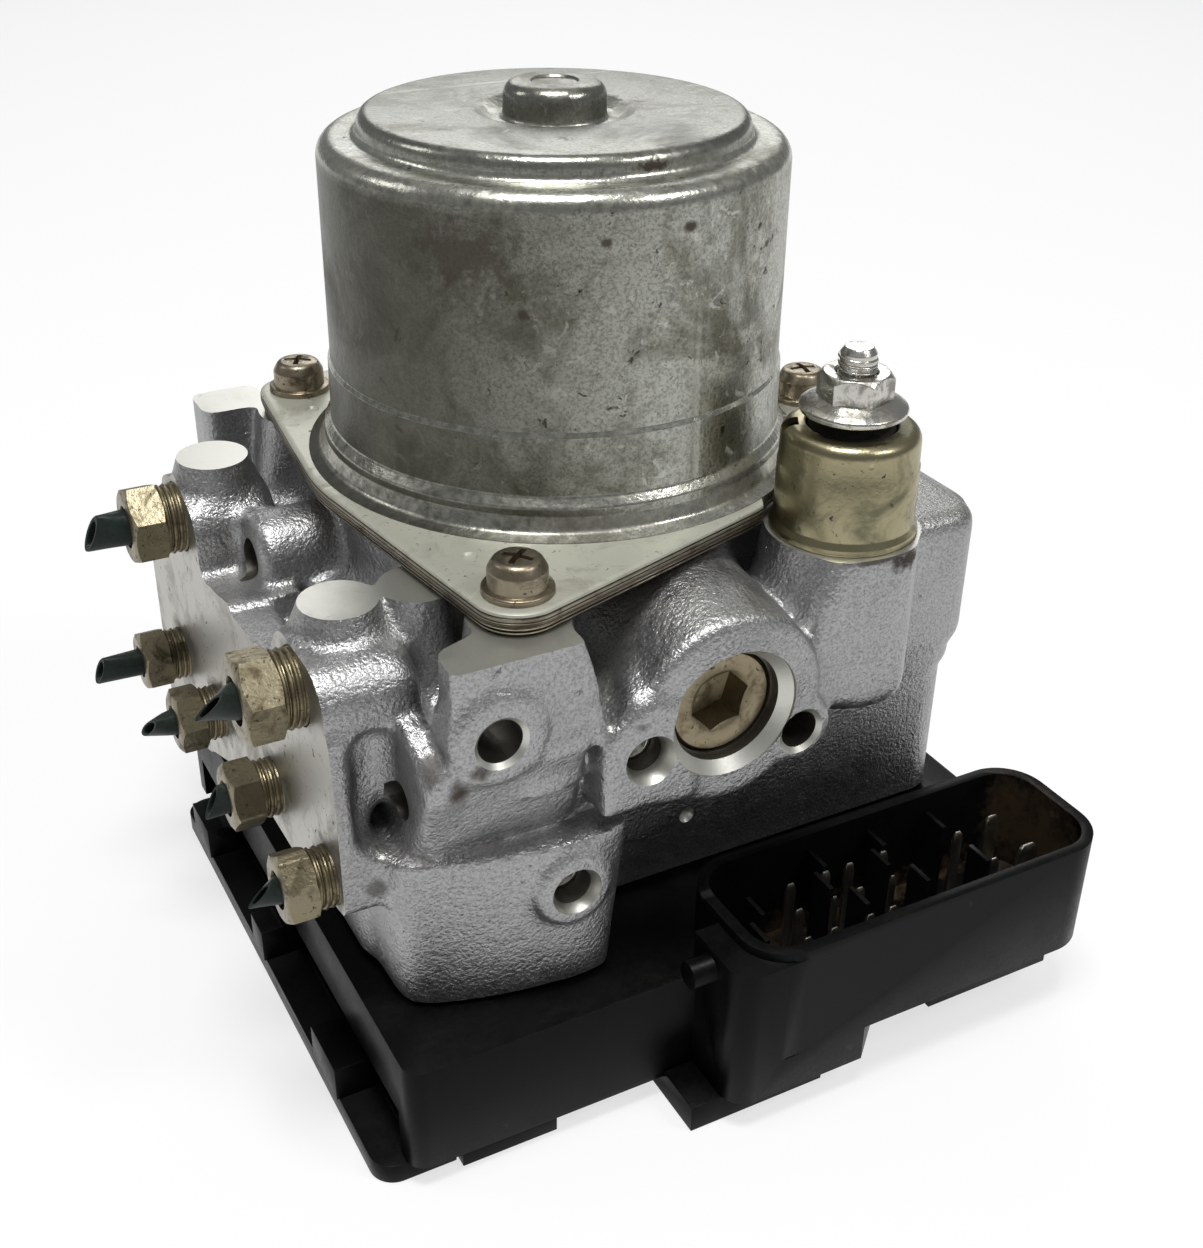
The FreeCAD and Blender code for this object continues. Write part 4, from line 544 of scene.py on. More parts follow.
def rod(axis, u, v, radius, low, high, mouth=0.0, segments=64):
    """A round bar along an axis; mouth widens its lower end into a chamfer, or its upper if negative."""
    profile = [(0, low), (radius, low), (radius, high), (0, high)]
    if mouth > 0:
        profile[1:2] = [(radius + mouth, low), (radius, low + mouth)]
    if mouth < 0:
        profile[2:3] = [(radius, high + mouth), (radius - mouth, high)]
    return turned(profile, segments, axis, lift(axis, u, v, 0))


def extruded(outline, low, high, axis="Z", place=(0, 0, 0)):
    """A prism of an outline between two heights."""
    count = len(outline)
    points = [lift(axis, u, v, low, place) for u, v in outline]
    points += [lift(axis, u, v, high, place) for u, v in outline]
    faces = [list(range(count))[::-1], list(range(count, 2 * count))]
    faces += [[i, (i + 1) % count, count + (i + 1) % count, count + i] for i in range(count)]
    return outward(mesh_from("extruded", points, faces))


def piece(made, replaced=(), body=ROOT):
    """Hand a finished object over to the frame."""
    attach(made, body)
    if replaced:
        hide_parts(*replaced)
    return made


def slab(axis, low, high, reach=90.0):
    """A square slab that cuts everything between two places on an axis."""
    return extruded([(-reach, -reach), (reach, -reach), (reach, reach + 60), (-reach, reach + 60)],
                    low, high, axis)


def marked(mesh, number):
    """A mesh whose faces use the material slot of this number."""
    mesh.polygons.foreach_set("material_index", [number] * len(mesh.polygons))
    return mesh


def block_bores():
    """Cutters for the machined faces and bores, in groups whose members don't touch."""
    faces = [[slab("Z", 0, BLOCK_BASE), slab("Z", MOTOR_FACE, 130)],
             [marked(slab("X", -90, PORT_FACE), 2)]]
    pump = []
    for sign in (1, -1):
        pump.append(turned([
            (0, -62 * sign), (10.7, -62 * sign), (10.7, -57.9 * sign), (PLUG_RECESS, -56.3 * sign),
            (PLUG_RECESS, PLUG_FACE * sign), (PLUG_SEAT, PLUG_FACE * sign),
            (PLUG_SEAT, (PLUG_FACE + 10) * sign), (PUMP_BORE, (PLUG_FACE + 10) * sign),
            (PUMP_BORE, -15 * sign), (PISTON_BORE, -15 * sign), (PISTON_BORE, -11 * sign),
            (0, -11 * sign)], 96, "Y", (0, 0, PUMP_HEIGHT)))
    front = FRONT_FACE - 2.5
    bores = [
        rod("Y", *BRACKET_HOLE, BRACKET_BORE, FRONT_FACE - 1.3, FRONT_FACE + 14, 0.8),
        rod("Y", *LOCATING_HOLE, LOCATING_BORE, FRONT_FACE - 2.2, FRONT_FACE + 9, 1.9),
    ]
    # outer and middle radius of each mouth, the middle's and the root's distance from the front face
    mouths = [(4.4, 3.6, -0.9, 0.5), (4.2, 3.9, -1.4, -0.2)]
    for (x, z), (outer, middle, rise, root) in zip(SEALED_CHANNELS, mouths):
        bores.append(turned([
            (0, front), (outer, front), (middle, FRONT_FACE + rise), (CHANNEL_BORE, FRONT_FACE + root),
            (CHANNEL_BORE, FRONT_FACE + 9), (0, FRONT_FACE + 9)], 64, "Y", (x, 0, z)))
    bores += [
        rod("X", *EAR_HOLES[0], EAR_BORES[0], -49.4, -39),
        rod("X", *EAR_HOLES[1], EAR_BORES[1], -53, -43.5),
        turned([(0, -44), (4.4, -44), (0, -38.2)], 48, "Y", (4.2, 0, 34.2)),
        rod("Z", *MOUNT_AXIS, STUD_BORE, MOTOR_FACE - 10, MOTOR_FACE + 2),
    ]
    for ports, radius in ((LARGE_PORTS, LARGE_PORT_BORE), (SMALL_PORTS, SMALL_PORT_BORE)):
        bores += [rod("X", y, z, radius, PORT_FACE - 2, PORT_FACE + 14) for y, z in ports]
    bores += [rod("Z", x, y, MOTOR_SCREW_BORE, MOTOR_FACE - 14, MOTOR_FACE + 2, 0, 32)
              for x, y in SCREW_PLACES]
    bores += [turned([(0, 22), (VALVE_COLLAR_BORE, 22), (VALVE_COLLAR_BORE, BLOCK_BASE + 2),
                      (VALVE_BORE, BLOCK_BASE + 2), (VALVE_BORE, BLOCK_BASE + 20), (0, BLOCK_BASE + 20)],
                     32, "Z", (x, y, 0)) for x, y in VALVE_PLACES]
    bores += [rod("Z", x, y, ACCUMULATOR_BORE, 22, 39.0) for x, y in ACCUMULATOR_PLACES]
    bores += [rod("Z", x, y, HOUSING_SCREW_BORE, 22, BLOCK_BASE + 9, 0, 24) for x, y in HOUSING_SCREWS]
    return faces + [bores, pump, [rod("Z", 0, 0, MOTOR_BORE, 52, MOTOR_FACE + 2)]]


def is_deep(centre, normal):
    """Whether a bored face lies too far inside its hole to be seen in full light."""
    if abs(normal.z) > 0.9 and centre.z > MOTOR_FACE - 0.1:
        return False
    in_centre_mark = centre.z < 38 and centre.y < -36
    if in_centre_mark:
        return False
    return abs(centre.y) < -FRONT_FACE - 1.0 and abs(centre.x - PORT_FACE) > 0.5


def make_block(step, materials):
    """The casting with its machined faces and bores."""
    casting = Casting((-64.0, -62.0, BLOCK_BASE - 8), (66.0, 60.0, MOTOR_FACE + 5), step)
    for form, blend in cast_forms():
        casting.add(form, blend)
    for form, blend in cast_hollows():
        casting.cut(form, blend)
    points, quads = casting.surface()
    block = put("cast_block", big_mesh("cast_block", points, quads))
    for material in materials:
        block.data.materials.append(material)
    for group in block_bores():
        carve(block, [mesh if mesh.polygons[0].material_index else marked(mesh, 1) for mesh in group],
              "EXACT")
    # faces deep in the bores take the dark bore material, a painted shade
    for face in block.data.polygons:
        if face.material_index == 1 and is_deep(face.center / MM, face.normal):
            face.material_index = 3
    return block


# Shader groups, each shared by several materials
class Wiring:
    """Short ways to place shader nodes in a tree and join them."""

    def __init__(self, tree):
        self.tree = tree

    def node(self, kind, settings=(), **values):
        """A node; values are numbers, colours or sockets for its inputs, spaces written as _."""
        made = self.tree.nodes.new(kind)
        for name, value in dict(settings).items():
            setattr(made, name, value)
        for name, value in values.items():
            self.feed(made.inputs[name.replace("_", " ")], value)
        return made

    def feed(self, socket, value):
        """Join a socket or set its value."""
        if isinstance(value, bpy.types.NodeSocket):
            self.tree.links.new(value, socket)
        else:
            socket.default_value = value

    def maths(self, operation, *values, clamp=False):
        """The result of a sum on numbers or sockets."""
        made = self.tree.nodes.new("ShaderNodeMath")
        made.operation = operation
        made.use_clamp = clamp
        for index, value in enumerate(values):
            self.feed(made.inputs[index], value)
        return made.outputs[0]

    def blend(self, factor, first, second):
        """A colour between two colours."""
        made = self.tree.nodes.new("ShaderNodeMix")
        made.data_type = "RGBA"
        self.feed(made.inputs["Factor"], factor)
        self.feed(made.inputs[6], first)
        self.feed(made.inputs[7], second)
        return made.outputs[2]

    def over(self, tone, mask, share, second):
        """A tone with a share of a second one laid over it where the mask is."""
        return self.blend(self.maths("MULTIPLY", mask, share), tone, second)

    def step(self, value, low, high, first=0.0, last=1.0):
        """A value spread from one range to another, kept inside it."""
        made = self.tree.nodes.new("ShaderNodeMapRange")
        made.clamp = True
        for index, item in enumerate((value, low, high, first, last)):
            self.feed(made.inputs[index], item)
        return made.outputs[0]

    def noise(self, where, scale, detail=3.0, rough=0.55, warp=0.0):
        """Soft noise between 0 and 1."""
        made = self.node("ShaderNodeTexNoise", Vector=where, Scale=scale, Detail=detail,
                         Roughness=rough, Distortion=warp)
        return made.outputs["Fac"]


def new_group(name, inputs, outputs):
    """The wiring, inputs and outputs of a new shader group with these sockets: (name, kind, default)."""
    group = bpy.data.node_groups.new(name, "ShaderNodeTree")
    for label, kind, default in inputs:
        socket = group.interface.new_socket(label, in_out="INPUT", socket_type="NodeSocket" + kind)
        if default is not None:
            socket.default_value = default
    for label, kind in outputs:
        group.interface.new_socket(label, in_out="OUTPUT", socket_type="NodeSocket" + kind)
    given, out = group.nodes.new("NodeGroupInput").outputs, group.nodes.new("NodeGroupOutput").inputs
    return Wiring(group), given, out


def build_groups():
    """The shader groups that the materials share."""
    # fine even grain of a blasted or plated surface, over a slower unevenness
    w, given, out = new_group(
        "Surface Grain",
        [("Vector", "Vector", None), ("Fine", "Float", 1500.0), ("Broad", "Float", 160.0),
         ("Broad Share", "Float", 0.4)],
        [("Height", "Float"), ("Tone", "Float")])
    fine = w.noise(given["Vector"], given["Fine"], 2.0, 0.6)
    broad = w.noise(given["Vector"], given["Broad"], 3.0, 0.5)
    slow = w.maths("MULTIPLY", broad, given["Broad Share"])
    w.feed(out["Height"], w.maths("ADD", fine, slow))
    w.feed(out["Tone"], w.step(w.maths("ADD", fine, broad), 0.7, 1.3))

    # patches of a second tone with ragged sides
    w, given, out = new_group(
        "Mottle",
        [("Vector", "Vector", None), ("Scale", "Float", 90.0), ("Cover", "Float", 0.5),
         ("Softness", "Float", 0.1)],
        [("Mask", "Float")])
    cloud = w.noise(given["Vector"], given["Scale"], 8.0, 0.66, 0.6)
    edge = w.maths("SUBTRACT", 0.72, w.maths("MULTIPLY", given["Cover"], 0.44))
    high = w.maths("ADD", edge, given["Softness"])
    w.feed(out["Mask"], w.step(cloud, edge, high))

    # thin scratches in three directions
    w, given, out = new_group(
        "Scratches",
        [("Vector", "Vector", None), ("Scale", "Float", 260.0), ("Amount", "Float", 0.3)],
        [("Mask", "Float")])
    total = None
    for turn, stretch in (((0.3, 0.2, 0.5), (1, 0.03, 1)), ((1.1, 0.4, 2.1), (0.03, 1, 1)),
                          ((0.2, 1.3, 1.1), (1, 1, 0.03))):
        place = w.node("ShaderNodeMapping", Vector=given["Vector"], Rotation=turn, Scale=stretch)
        line = w.noise(place.outputs[0], given["Scale"], 2.0, 0.5)
        edge = w.maths("SUBTRACT", 0.78, w.maths("MULTIPLY", given["Amount"], 0.2))
        line = w.step(line, edge, w.maths("ADD", edge, 0.05))
        total = line if total is None else w.maths("MAXIMUM", total, line)
    w.feed(out["Mask"], total)

    # a patch of dirt round one place, torn at its rim
    w, given, out = new_group(
        "Dirt Patch",
        [("Vector", "Vector", None), ("Centre", "Vector", None), ("Reach", "Vector", None),
         ("Raggedness", "Float", 0.5)],
        [("Mask", "Float")])
    away = w.node("ShaderNodeVectorMath", {"operation": "SUBTRACT"})
    w.feed(away.inputs[0], given["Vector"])
    w.feed(away.inputs[1], given["Centre"])
    ratio = w.node("ShaderNodeVectorMath", {"operation": "DIVIDE"})
    w.feed(ratio.inputs[0], away.outputs[0])
    w.feed(ratio.inputs[1], given["Reach"])
    length = w.node("ShaderNodeVectorMath", {"operation": "LENGTH"})
    w.feed(length.inputs[0], ratio.outputs[0])
    torn = w.maths("SUBTRACT", w.noise(given["Vector"], 420.0, 6.0, 0.7), 0.5)
    shift = w.maths("MULTIPLY", torn, w.maths("MULTIPLY", given["Raggedness"], 3.0))
    w.feed(out["Mask"], w.step(w.maths("ADD", length.outputs["Value"], shift), 1.0, 0.45))

    # dust that settles on faces that look up
    w, given, out = new_group(
        "Settled Dust",
        [("Vector", "Vector", None), ("Normal", "Vector", None), ("Amount", "Float", 0.4)],
        [("Mask", "Float")])
    apart = w.node("ShaderNodeSeparateXYZ", Vector=given["Normal"])
    flat = w.step(apart.outputs["Z"], 0.2, 0.95)
    speck = w.noise(given["Vector"], 900.0, 6.0, 0.75)
    cloud = w.noise(given["Vector"], 70.0, 4.0, 0.6)
    lying = w.step(w.maths("MULTIPLY", speck, cloud), 0.22, 0.42)
    w.feed(out["Mask"], w.maths("MULTIPLY", w.maths("MULTIPLY", flat, lying), given["Amount"]))


def place_group(wires, name, **values):
    """A copy of a shader group in a material."""
    made = wires.tree.nodes.new("ShaderNodeGroup")
    made.node_tree = bpy.data.node_groups[name]
    for label, value in values.items():
        wires.feed(made.inputs[label.replace("_", " ")], value)
    return made.outputs


def mottle(wires, where, scale, cover, softness):
    """Mask of patches with ragged sides."""
    return place_group(wires, "Mottle", Vector=where, Scale=scale, Cover=cover, Softness=softness)["Mask"]


def new_material(name, **sockets):
    """A material with plain values on its shader, its wiring, the shader and the object coordinates."""
    made = bpy.data.materials.new(name)
    made.use_nodes = True
    wires = Wiring(made.node_tree)
    shader = made.node_tree.nodes["Principled BSDF"]
    for label, value in sockets.items():
        shader.inputs[label.replace("_", " ")].default_value = value
    where = wires.node("ShaderNodeTexCoord").outputs["Object"]
    return made, wires, shader, where


def bump(wires, shader, height, distance, strength=1.0):
    """Raise a surface by a height, the distance in millimetres."""
    made = wires.node("ShaderNodeBump", Height=height, Distance=distance * MM, Strength=strength)
    wires.feed(shader.inputs["Normal"], made.outputs[0])


def colour(value, factor=1.0):
    """A four-part colour."""
    return (value[0] * factor, value[1] * factor, value[2] * factor, 1.0)


# Dirt on the casting, the can and the housing, with painted shadow under the mount cup: centre and reach in
# millimetres, raggedness, strength
CAST_DIRT_AND_SHADE = [
    ((-43.2, -55.5, 66.0), (2.4, 3.0, 4.4), 0.35, 0.95),
    ((-43.6, -54.5, 71.0), (1.6, 4.0, 3.0), 0.4, 0.7),
    ((-40.2, -57.2, 68.6), (2.6, 2.0, 1.8), 0.5, 0.8),
    ((-46.6, -52.5, 62.0), (2.4, 3.2, 3.0), 0.5, 0.5),
    ((-50.5, -46.0, 51.9), (3.2, 8.0, 1.4), 0.6, 0.12),
    ((-46.5, -51.0, 51.6), (4.0, 2.6, 1.2), 0.6, 0.4),
    ((-46.0, -55.0, 68.5), (2.4, 2.6, 4.0), 0.7, 0.6),
    ((-15.5, -58.0, 69.0), (1.6, 1.4, 0.9), 0.5, 0.8),
    ((-53.0, -48.5, 46.5), (2.0, 1.6, 2.4), 0.6, 0.55),
    # grime under the front of the mount cup, with painted shadow where the cup overhangs
    ((30.5, -54.6, 82.8), (5.0, 4.0, 2.0), 0.8, 0.95),
    ((27.0, -55.0, 84.0), (9.0, 4.0, 0.8), 0.5, 0.8),
    ((-44.0, -24.0, 83.0), (5.0, 4.0, 4.0), 0.5, 0.4),
    ((-38.0, -52.0, 51.6), (12.0, 2.0, 0.7), 0.5, 0.4),
]
CAN_DIRT = [
    ((-26.4, -24.4, 128.5), (9.0, 8.0, 5.0), 1.0, 0.7),
    ((2.9, -36.0, 132.0), (1.4, 1.4, 1.0), 0.3, 0.95),
    ((-9.6, -34.7, 131.0), (1.0, 1.0, 0.8), 0.3, 0.9),
    ((-0.5, -29.4, 139.2), (3.4, 1.6, 1.1), 0.9, 1.0),
    ((-20.0, -30.0, 121.0), (1.0, 1.0, 1.0), 0.4, 0.9),
    ((-12.0, -36.0, 89.5), (16.0, 8.0, 3.0), 0.8, 0.6),
    ((14.0, -38.0, 91.0), (10.0, 8.0, 4.5), 0.8, 0.6),
    ((34.0, -22.0, 90.0), (9.0, 9.0, 4.0), 0.9, 0.6),
    ((0.0, 0.0, 141.2), (14.0, 14.0, 2.0), 0.8, 0.4),
]
HOUSING_DIRT = [
    ((61.0, -60.0, 24.0), (5.0, 14.0, 14.0), 0.5, 0.22),
    ((20.0, -50.0, 13.0), (45, 6, 6), 0.8, 0.35),
]


def dirt_mask(wires, where, patches):
    """The sum of several dirt patches."""
    total = None
    for centre, reach, ragged, strength in patches:
        mask = place_group(wires, "Dirt Patch", Vector=where, Centre=[c * MM for c in centre],
                           Reach=[r * MM for r in reach], Raggedness=ragged)["Mask"]
        mask = wires.maths("MULTIPLY", mask, strength)
        total = mask if total is None else wires.maths("MAXIMUM", total, mask)
    return total


def metal(name, light, dark, rough=(0.35, 0.55), scale=90.0, cover=0.5, soft=0.12, fine=1500.0,
          height=0.03, scratch=0.2, spots=0.0, metallic=1.0, patches=(), spot_tone=(0.02, 0.018, 0.014)):
    """A worn metal: two mottled tones, grain, scratches, dark spots and dirt patches."""
    made, w, shader, where = new_material(name, Metallic=metallic)
    grain = place_group(w, "Surface Grain", Vector=where, Fine=fine)
    cloud = mottle(w, where, scale, cover, soft)
    tone = w.blend(cloud, colour(light), colour(dark))
    tone = w.over(tone, grain["Tone"], 0.25, colour(light, 1.15))
    rough_value = w.step(cloud, 0.0, 1.0, *rough)
    level = grain["Height"]
    if scratch > 0:
        lines = place_group(w, "Scratches", Vector=where, Amount=scratch)["Mask"]
        tone = w.over(tone, lines, 0.45, colour(light, 1.5))
        level = w.maths("SUBTRACT", level, w.maths("MULTIPLY", lines, 0.6))
    shine = None
    if spots > 0:
        dots = mottle(w, where, scale * 6, spots, 0.05)
        tone = w.over(tone, dots, 0.8, colour(spot_tone))
        rough_value = w.maths("ADD", rough_value, w.maths("MULTIPLY", dots, 0.25))
    if patches:
        mask = dirt_mask(w, where, patches)
        dark_patch_tone = w.blend(grain["Tone"], (0.035, 0.024, 0.013, 1), (0.012, 0.009, 0.006, 1))
        tone = w.blend(mask, tone, dark_patch_tone)
        rough_value = w.maths("ADD", rough_value, w.maths("MULTIPLY", mask, 0.4), clamp=True)
        shine = w.maths("SUBTRACT", metallic, w.maths("MULTIPLY", mask, 0.8 * metallic))
    w.feed(shader.inputs["Base Color"], tone)
    w.feed(shader.inputs["Roughness"], rough_value)
    if shine is not None:
        w.feed(shader.inputs["Metallic"], shine)
    bump(w, shader, level, height)
    return made


def can_zinc(name):
    """Grey-green zinc of the motor can: mottled, stained, with white bloom on its right side, painted shade
    on its left side and a painted highlight on edges that lean upward.
    """
    made, w, shader, where = new_material(name, Metallic=1.0)
    grain = place_group(w, "Surface Grain", Vector=where, Fine=1100.0, Broad=120.0)
    cloud = mottle(w, where, 58.0, 0.55, 0.16)
    tone = w.blend(cloud, (0.47, 0.475, 0.42, 1), (0.21, 0.205, 0.16, 1))
    sand = w.step(w.noise(where, 2100.0, 3.0, 0.75), 0.46, 0.6)
    tone = w.over(tone, sand, 0.55, (0.09, 0.088, 0.066, 1))
    blue = mottle(w, where, 34.0, 0.5, 0.2)
    tone = w.over(tone, blue, 0.25, (0.36, 0.39, 0.41, 1))
    small = mottle(w, where, 420.0, 0.45, 0.12)
    tone = w.over(tone, small, 0.45, (0.13, 0.13, 0.105, 1))
    specks = mottle(w, where, 360.0, 0.26, 0.04)
    tone = w.over(tone, specks, 0.8, (0.58, 0.59, 0.54, 1))
    drawn = w.node("ShaderNodeMapping", Vector=where, Scale=(1, 1, 0.06))
    streak = w.step(w.noise(drawn.outputs[0], 420.0, 4.0, 0.6), 0.52, 0.72)
    tone = w.over(tone, streak, 0.35, (0.5, 0.5, 0.45, 1))
    lines = place_group(w, "Scratches", Vector=where, Scale=190.0, Amount=0.4)["Mask"]
    tone = w.over(tone, lines, 0.5, (0.6, 0.6, 0.55, 1))
    far = w.node("ShaderNodeMapping", Vector=where, Location=(0.31, 0.17, 0.05)).outputs[0]
    dots = mottle(w, far, 360.0, 0.19, 0.03)
    tone = w.over(tone, dots, 0.92, (0.025, 0.022, 0.018, 1))
    # white bloom, mostly on the right side near the foot
    apart = w.node("ShaderNodeSeparateXYZ", Vector=where)
    side = w.step(apart.outputs["X"], -2 * MM, 26 * MM)
    front = w.step(apart.outputs["Y"], 12 * MM, -8 * MM)
    low = w.step(apart.outputs["Z"], 136 * MM, 100 * MM, 0.25, 1.0)
    bloom = mottle(w, where, 380.0, 0.3, 0.08)
    bloom = w.maths("MULTIPLY", w.maths("MULTIPLY", bloom, side), w.maths("MULTIPLY", front, low))
    tone = w.over(tone, bloom, 0.8, (0.7, 0.7, 0.65, 1))
    rough = w.step(cloud, 0.0, 1.0, 0.36, 0.5)
    rough = w.maths("ADD", rough, w.maths("MULTIPLY", bloom, 0.3))
    # painted highlight on edges and beads where the surface leans upward, with less roughness there
    normal = w.node("ShaderNodeNewGeometry").outputs["Normal"]
    lean = w.node("ShaderNodeSeparateXYZ", Vector=normal).outputs["Z"]
    upward_highlight = w.maths("MULTIPLY", w.step(lean, 0.1, 0.35), w.step(lean, 0.96, 0.8))
    rough = w.maths("SUBTRACT", rough, w.maths("MULTIPLY", upward_highlight, 0.12))
    mask = dirt_mask(w, where, CAN_DIRT)
    # painted shade: the can's wall darkens towards its left side, below the shoulder
    left_side_shade = w.step(apart.outputs["X"], 3 * MM, -31 * MM, 0.0, 0.9)
    wall = w.step(apart.outputs["Z"], 138 * MM, 134 * MM)
    tone = w.blend(w.maths("MULTIPLY", left_side_shade, wall), tone, (0.06, 0.058, 0.044, 1))
    highlight_breakup = w.step(w.noise(where, 700.0, 3.0, 0.6), 0.32, 0.6, 0.35, 1.0)
    # painted highlight, broken up by noise
    tone = w.over(tone, w.maths("MULTIPLY", upward_highlight, highlight_breakup), 0.7, (0.66, 0.66, 0.58, 1))
    crown = w.step(apart.outputs["Z"], 138.5 * MM, 140.5 * MM, 0.0, 0.55)
    tone = w.blend(crown, tone, (0.12, 0.122, 0.105, 1))
    tone = w.blend(mask, tone, (0.05, 0.038, 0.024, 1))
    w.feed(shader.inputs["Base Color"], tone)
    w.feed(shader.inputs["Roughness"], w.maths("ADD", rough, w.maths("MULTIPLY", mask, 0.3), clamp=True))
    matt = w.maths("MAXIMUM", w.maths("MULTIPLY", bloom, 0.7), w.maths("MULTIPLY", mask, 0.7))
    w.feed(shader.inputs["Metallic"], w.maths("SUBTRACT", 1.0, matt))
    level = w.maths("SUBTRACT", grain["Height"], w.maths("MULTIPLY", lines, 0.5))
    bump(w, shader, w.maths("ADD", level, w.maths("MULTIPLY", bloom, 0.8)), 0.06)
    return made


def plastic(name, base, rough=0.42, grain_height=0.012, dust=0.35, dust_tone=(0.16, 0.14, 0.11),
            patches=(), rub=0.25, fine=1700.0):
    """A moulded plastic with dust, faint scratches and optional dirt patches."""
    made, w, shader, where = new_material(name, Metallic=0.0, Specular_IOR_Level=0.1)
    grain = place_group(w, "Surface Grain", Vector=where, Fine=fine, Broad=200.0)
    tone = w.blend(grain["Tone"], colour(base, 0.8), colour(base, 1.35))
    lines = place_group(w, "Scratches", Vector=where, Scale=210.0, Amount=rub)["Mask"]
    tone = w.over(tone, lines, 0.25, colour((0.07, 0.068, 0.065)))
    upward = w.node("ShaderNodeNewGeometry").outputs["Normal"]
    lying = place_group(w, "Settled Dust", Vector=where, Normal=upward, Amount=dust)["Mask"]
    tone = w.blend(lying, tone, colour(dust_tone))
    rough_value = w.maths("ADD", w.step(grain["Tone"], 0, 1, rough - 0.06, rough + 0.08),
                          w.maths("MULTIPLY", lying, 0.6), clamp=True)
    if patches:
        mask = dirt_mask(w, where, patches)
        tone = w.blend(mask, tone, (0.13, 0.085, 0.045, 1))
        rough_value = w.maths("ADD", rough_value, w.maths("MULTIPLY", mask, 0.4), clamp=True)
    w.feed(shader.inputs["Base Color"], tone)
    w.feed(shader.inputs["Roughness"], rough_value)
    bump(w, shader, w.maths("SUBTRACT", grain["Height"], w.maths("MULTIPLY", lines, 0.5)), grain_height)
    return made


def cast_alloy(name, light, dark):
    """Blasted die-cast alloy: satin grain, slow waves, pores, mottled darker patches towards the left end,
    settled dust, and road dirt with painted shadow under the mount cup.
    """
    made, w, shader, where = new_material(name)
    grain = place_group(w, "Surface Grain", Vector=where, Fine=1500.0, Broad=420.0, Broad_Share=0.42)
    cloud = mottle(w, where, 70.0, 0.5, 0.3)
    tone = w.blend(cloud, colour(light), colour(dark))
    pores = mottle(w, where, 900.0, 0.16, 0.05)
    tone = w.over(tone, pores, 0.6, colour(dark, 0.35))
    tone = w.over(tone, grain["Tone"], 0.35, colour(light, 1.3))
    sand = w.step(w.noise(where, 2300.0, 2.0, 0.7), 0.44, 0.62)
    tone = w.over(tone, sand, 0.42, colour(dark, 0.4))
    # mottled darker patches towards the left end
    apart = w.node("ShaderNodeSeparateXYZ", Vector=where)
    left = w.step(apart.outputs["X"], -45 * MM, -57 * MM)
    left_mottle = mottle(w, where, 110.0, 0.55, 0.25)
    tone = w.over(tone, w.maths("MULTIPLY", left, left_mottle), 0.55, (0.20, 0.18, 0.155, 1))
    upward = w.node("ShaderNodeNewGeometry").outputs["Normal"]
    lying = place_group(w, "Settled Dust", Vector=where, Normal=upward, Amount=0.5)["Mask"]
    tone = w.blend(lying, tone, (0.27, 0.26, 0.21, 1))
    # dirt patches, with painted shadow under the front of the mount cup
    mask = dirt_mask(w, where, CAST_DIRT_AND_SHADE)
    dark_patch_tone = w.blend(grain["Tone"], (0.055, 0.036, 0.018, 1), (0.012, 0.009, 0.006, 1))
    tone = w.blend(mask, tone, dark_patch_tone)
    rough = w.step(grain["Tone"], 0, 1, 0.32, 0.46)
    w.feed(shader.inputs["Base Color"], tone)
    w.feed(shader.inputs["Roughness"], w.maths("ADD", rough, w.maths("MULTIPLY", mask, 0.45), clamp=True))
    w.feed(shader.inputs["Metallic"], w.step(w.maths("MAXIMUM", mask, lying), 0.0, 1.0, 0.94, 0.1))
    level = w.maths("SUBTRACT", grain["Height"], w.maths("MULTIPLY", pores, 0.6))
    bump(w, shader, level, 0.24)
    return made


def laminated(name, light, dark, pitch=0.9):
    """Stacked or layered metal: thin dark lines across Z."""
    made, w, shader, where = new_material(name, Metallic=0.9)
    apart = w.node("ShaderNodeSeparateXYZ", Vector=where)
    wave = w.maths("SINE", w.maths("MULTIPLY", apart.outputs["Z"], 2 * math.pi / (pitch * MM)))
    cloud = mottle(w, where, 220.0, 0.5, 0.2)
    lines = w.step(wave, -0.75, -0.3, 1.0, 0.0)
    tone = w.blend(cloud, colour(light), colour(dark))
    tone = w.over(tone, lines, 0.95, colour(dark, 0.12))
    w.feed(shader.inputs["Base Color"], tone)
    w.feed(shader.inputs["Roughness"], w.step(cloud, 0, 1, 0.4, 0.62))
    bump(w, shader, w.maths("SUBTRACT", cloud, lines), 0.08)
    return made


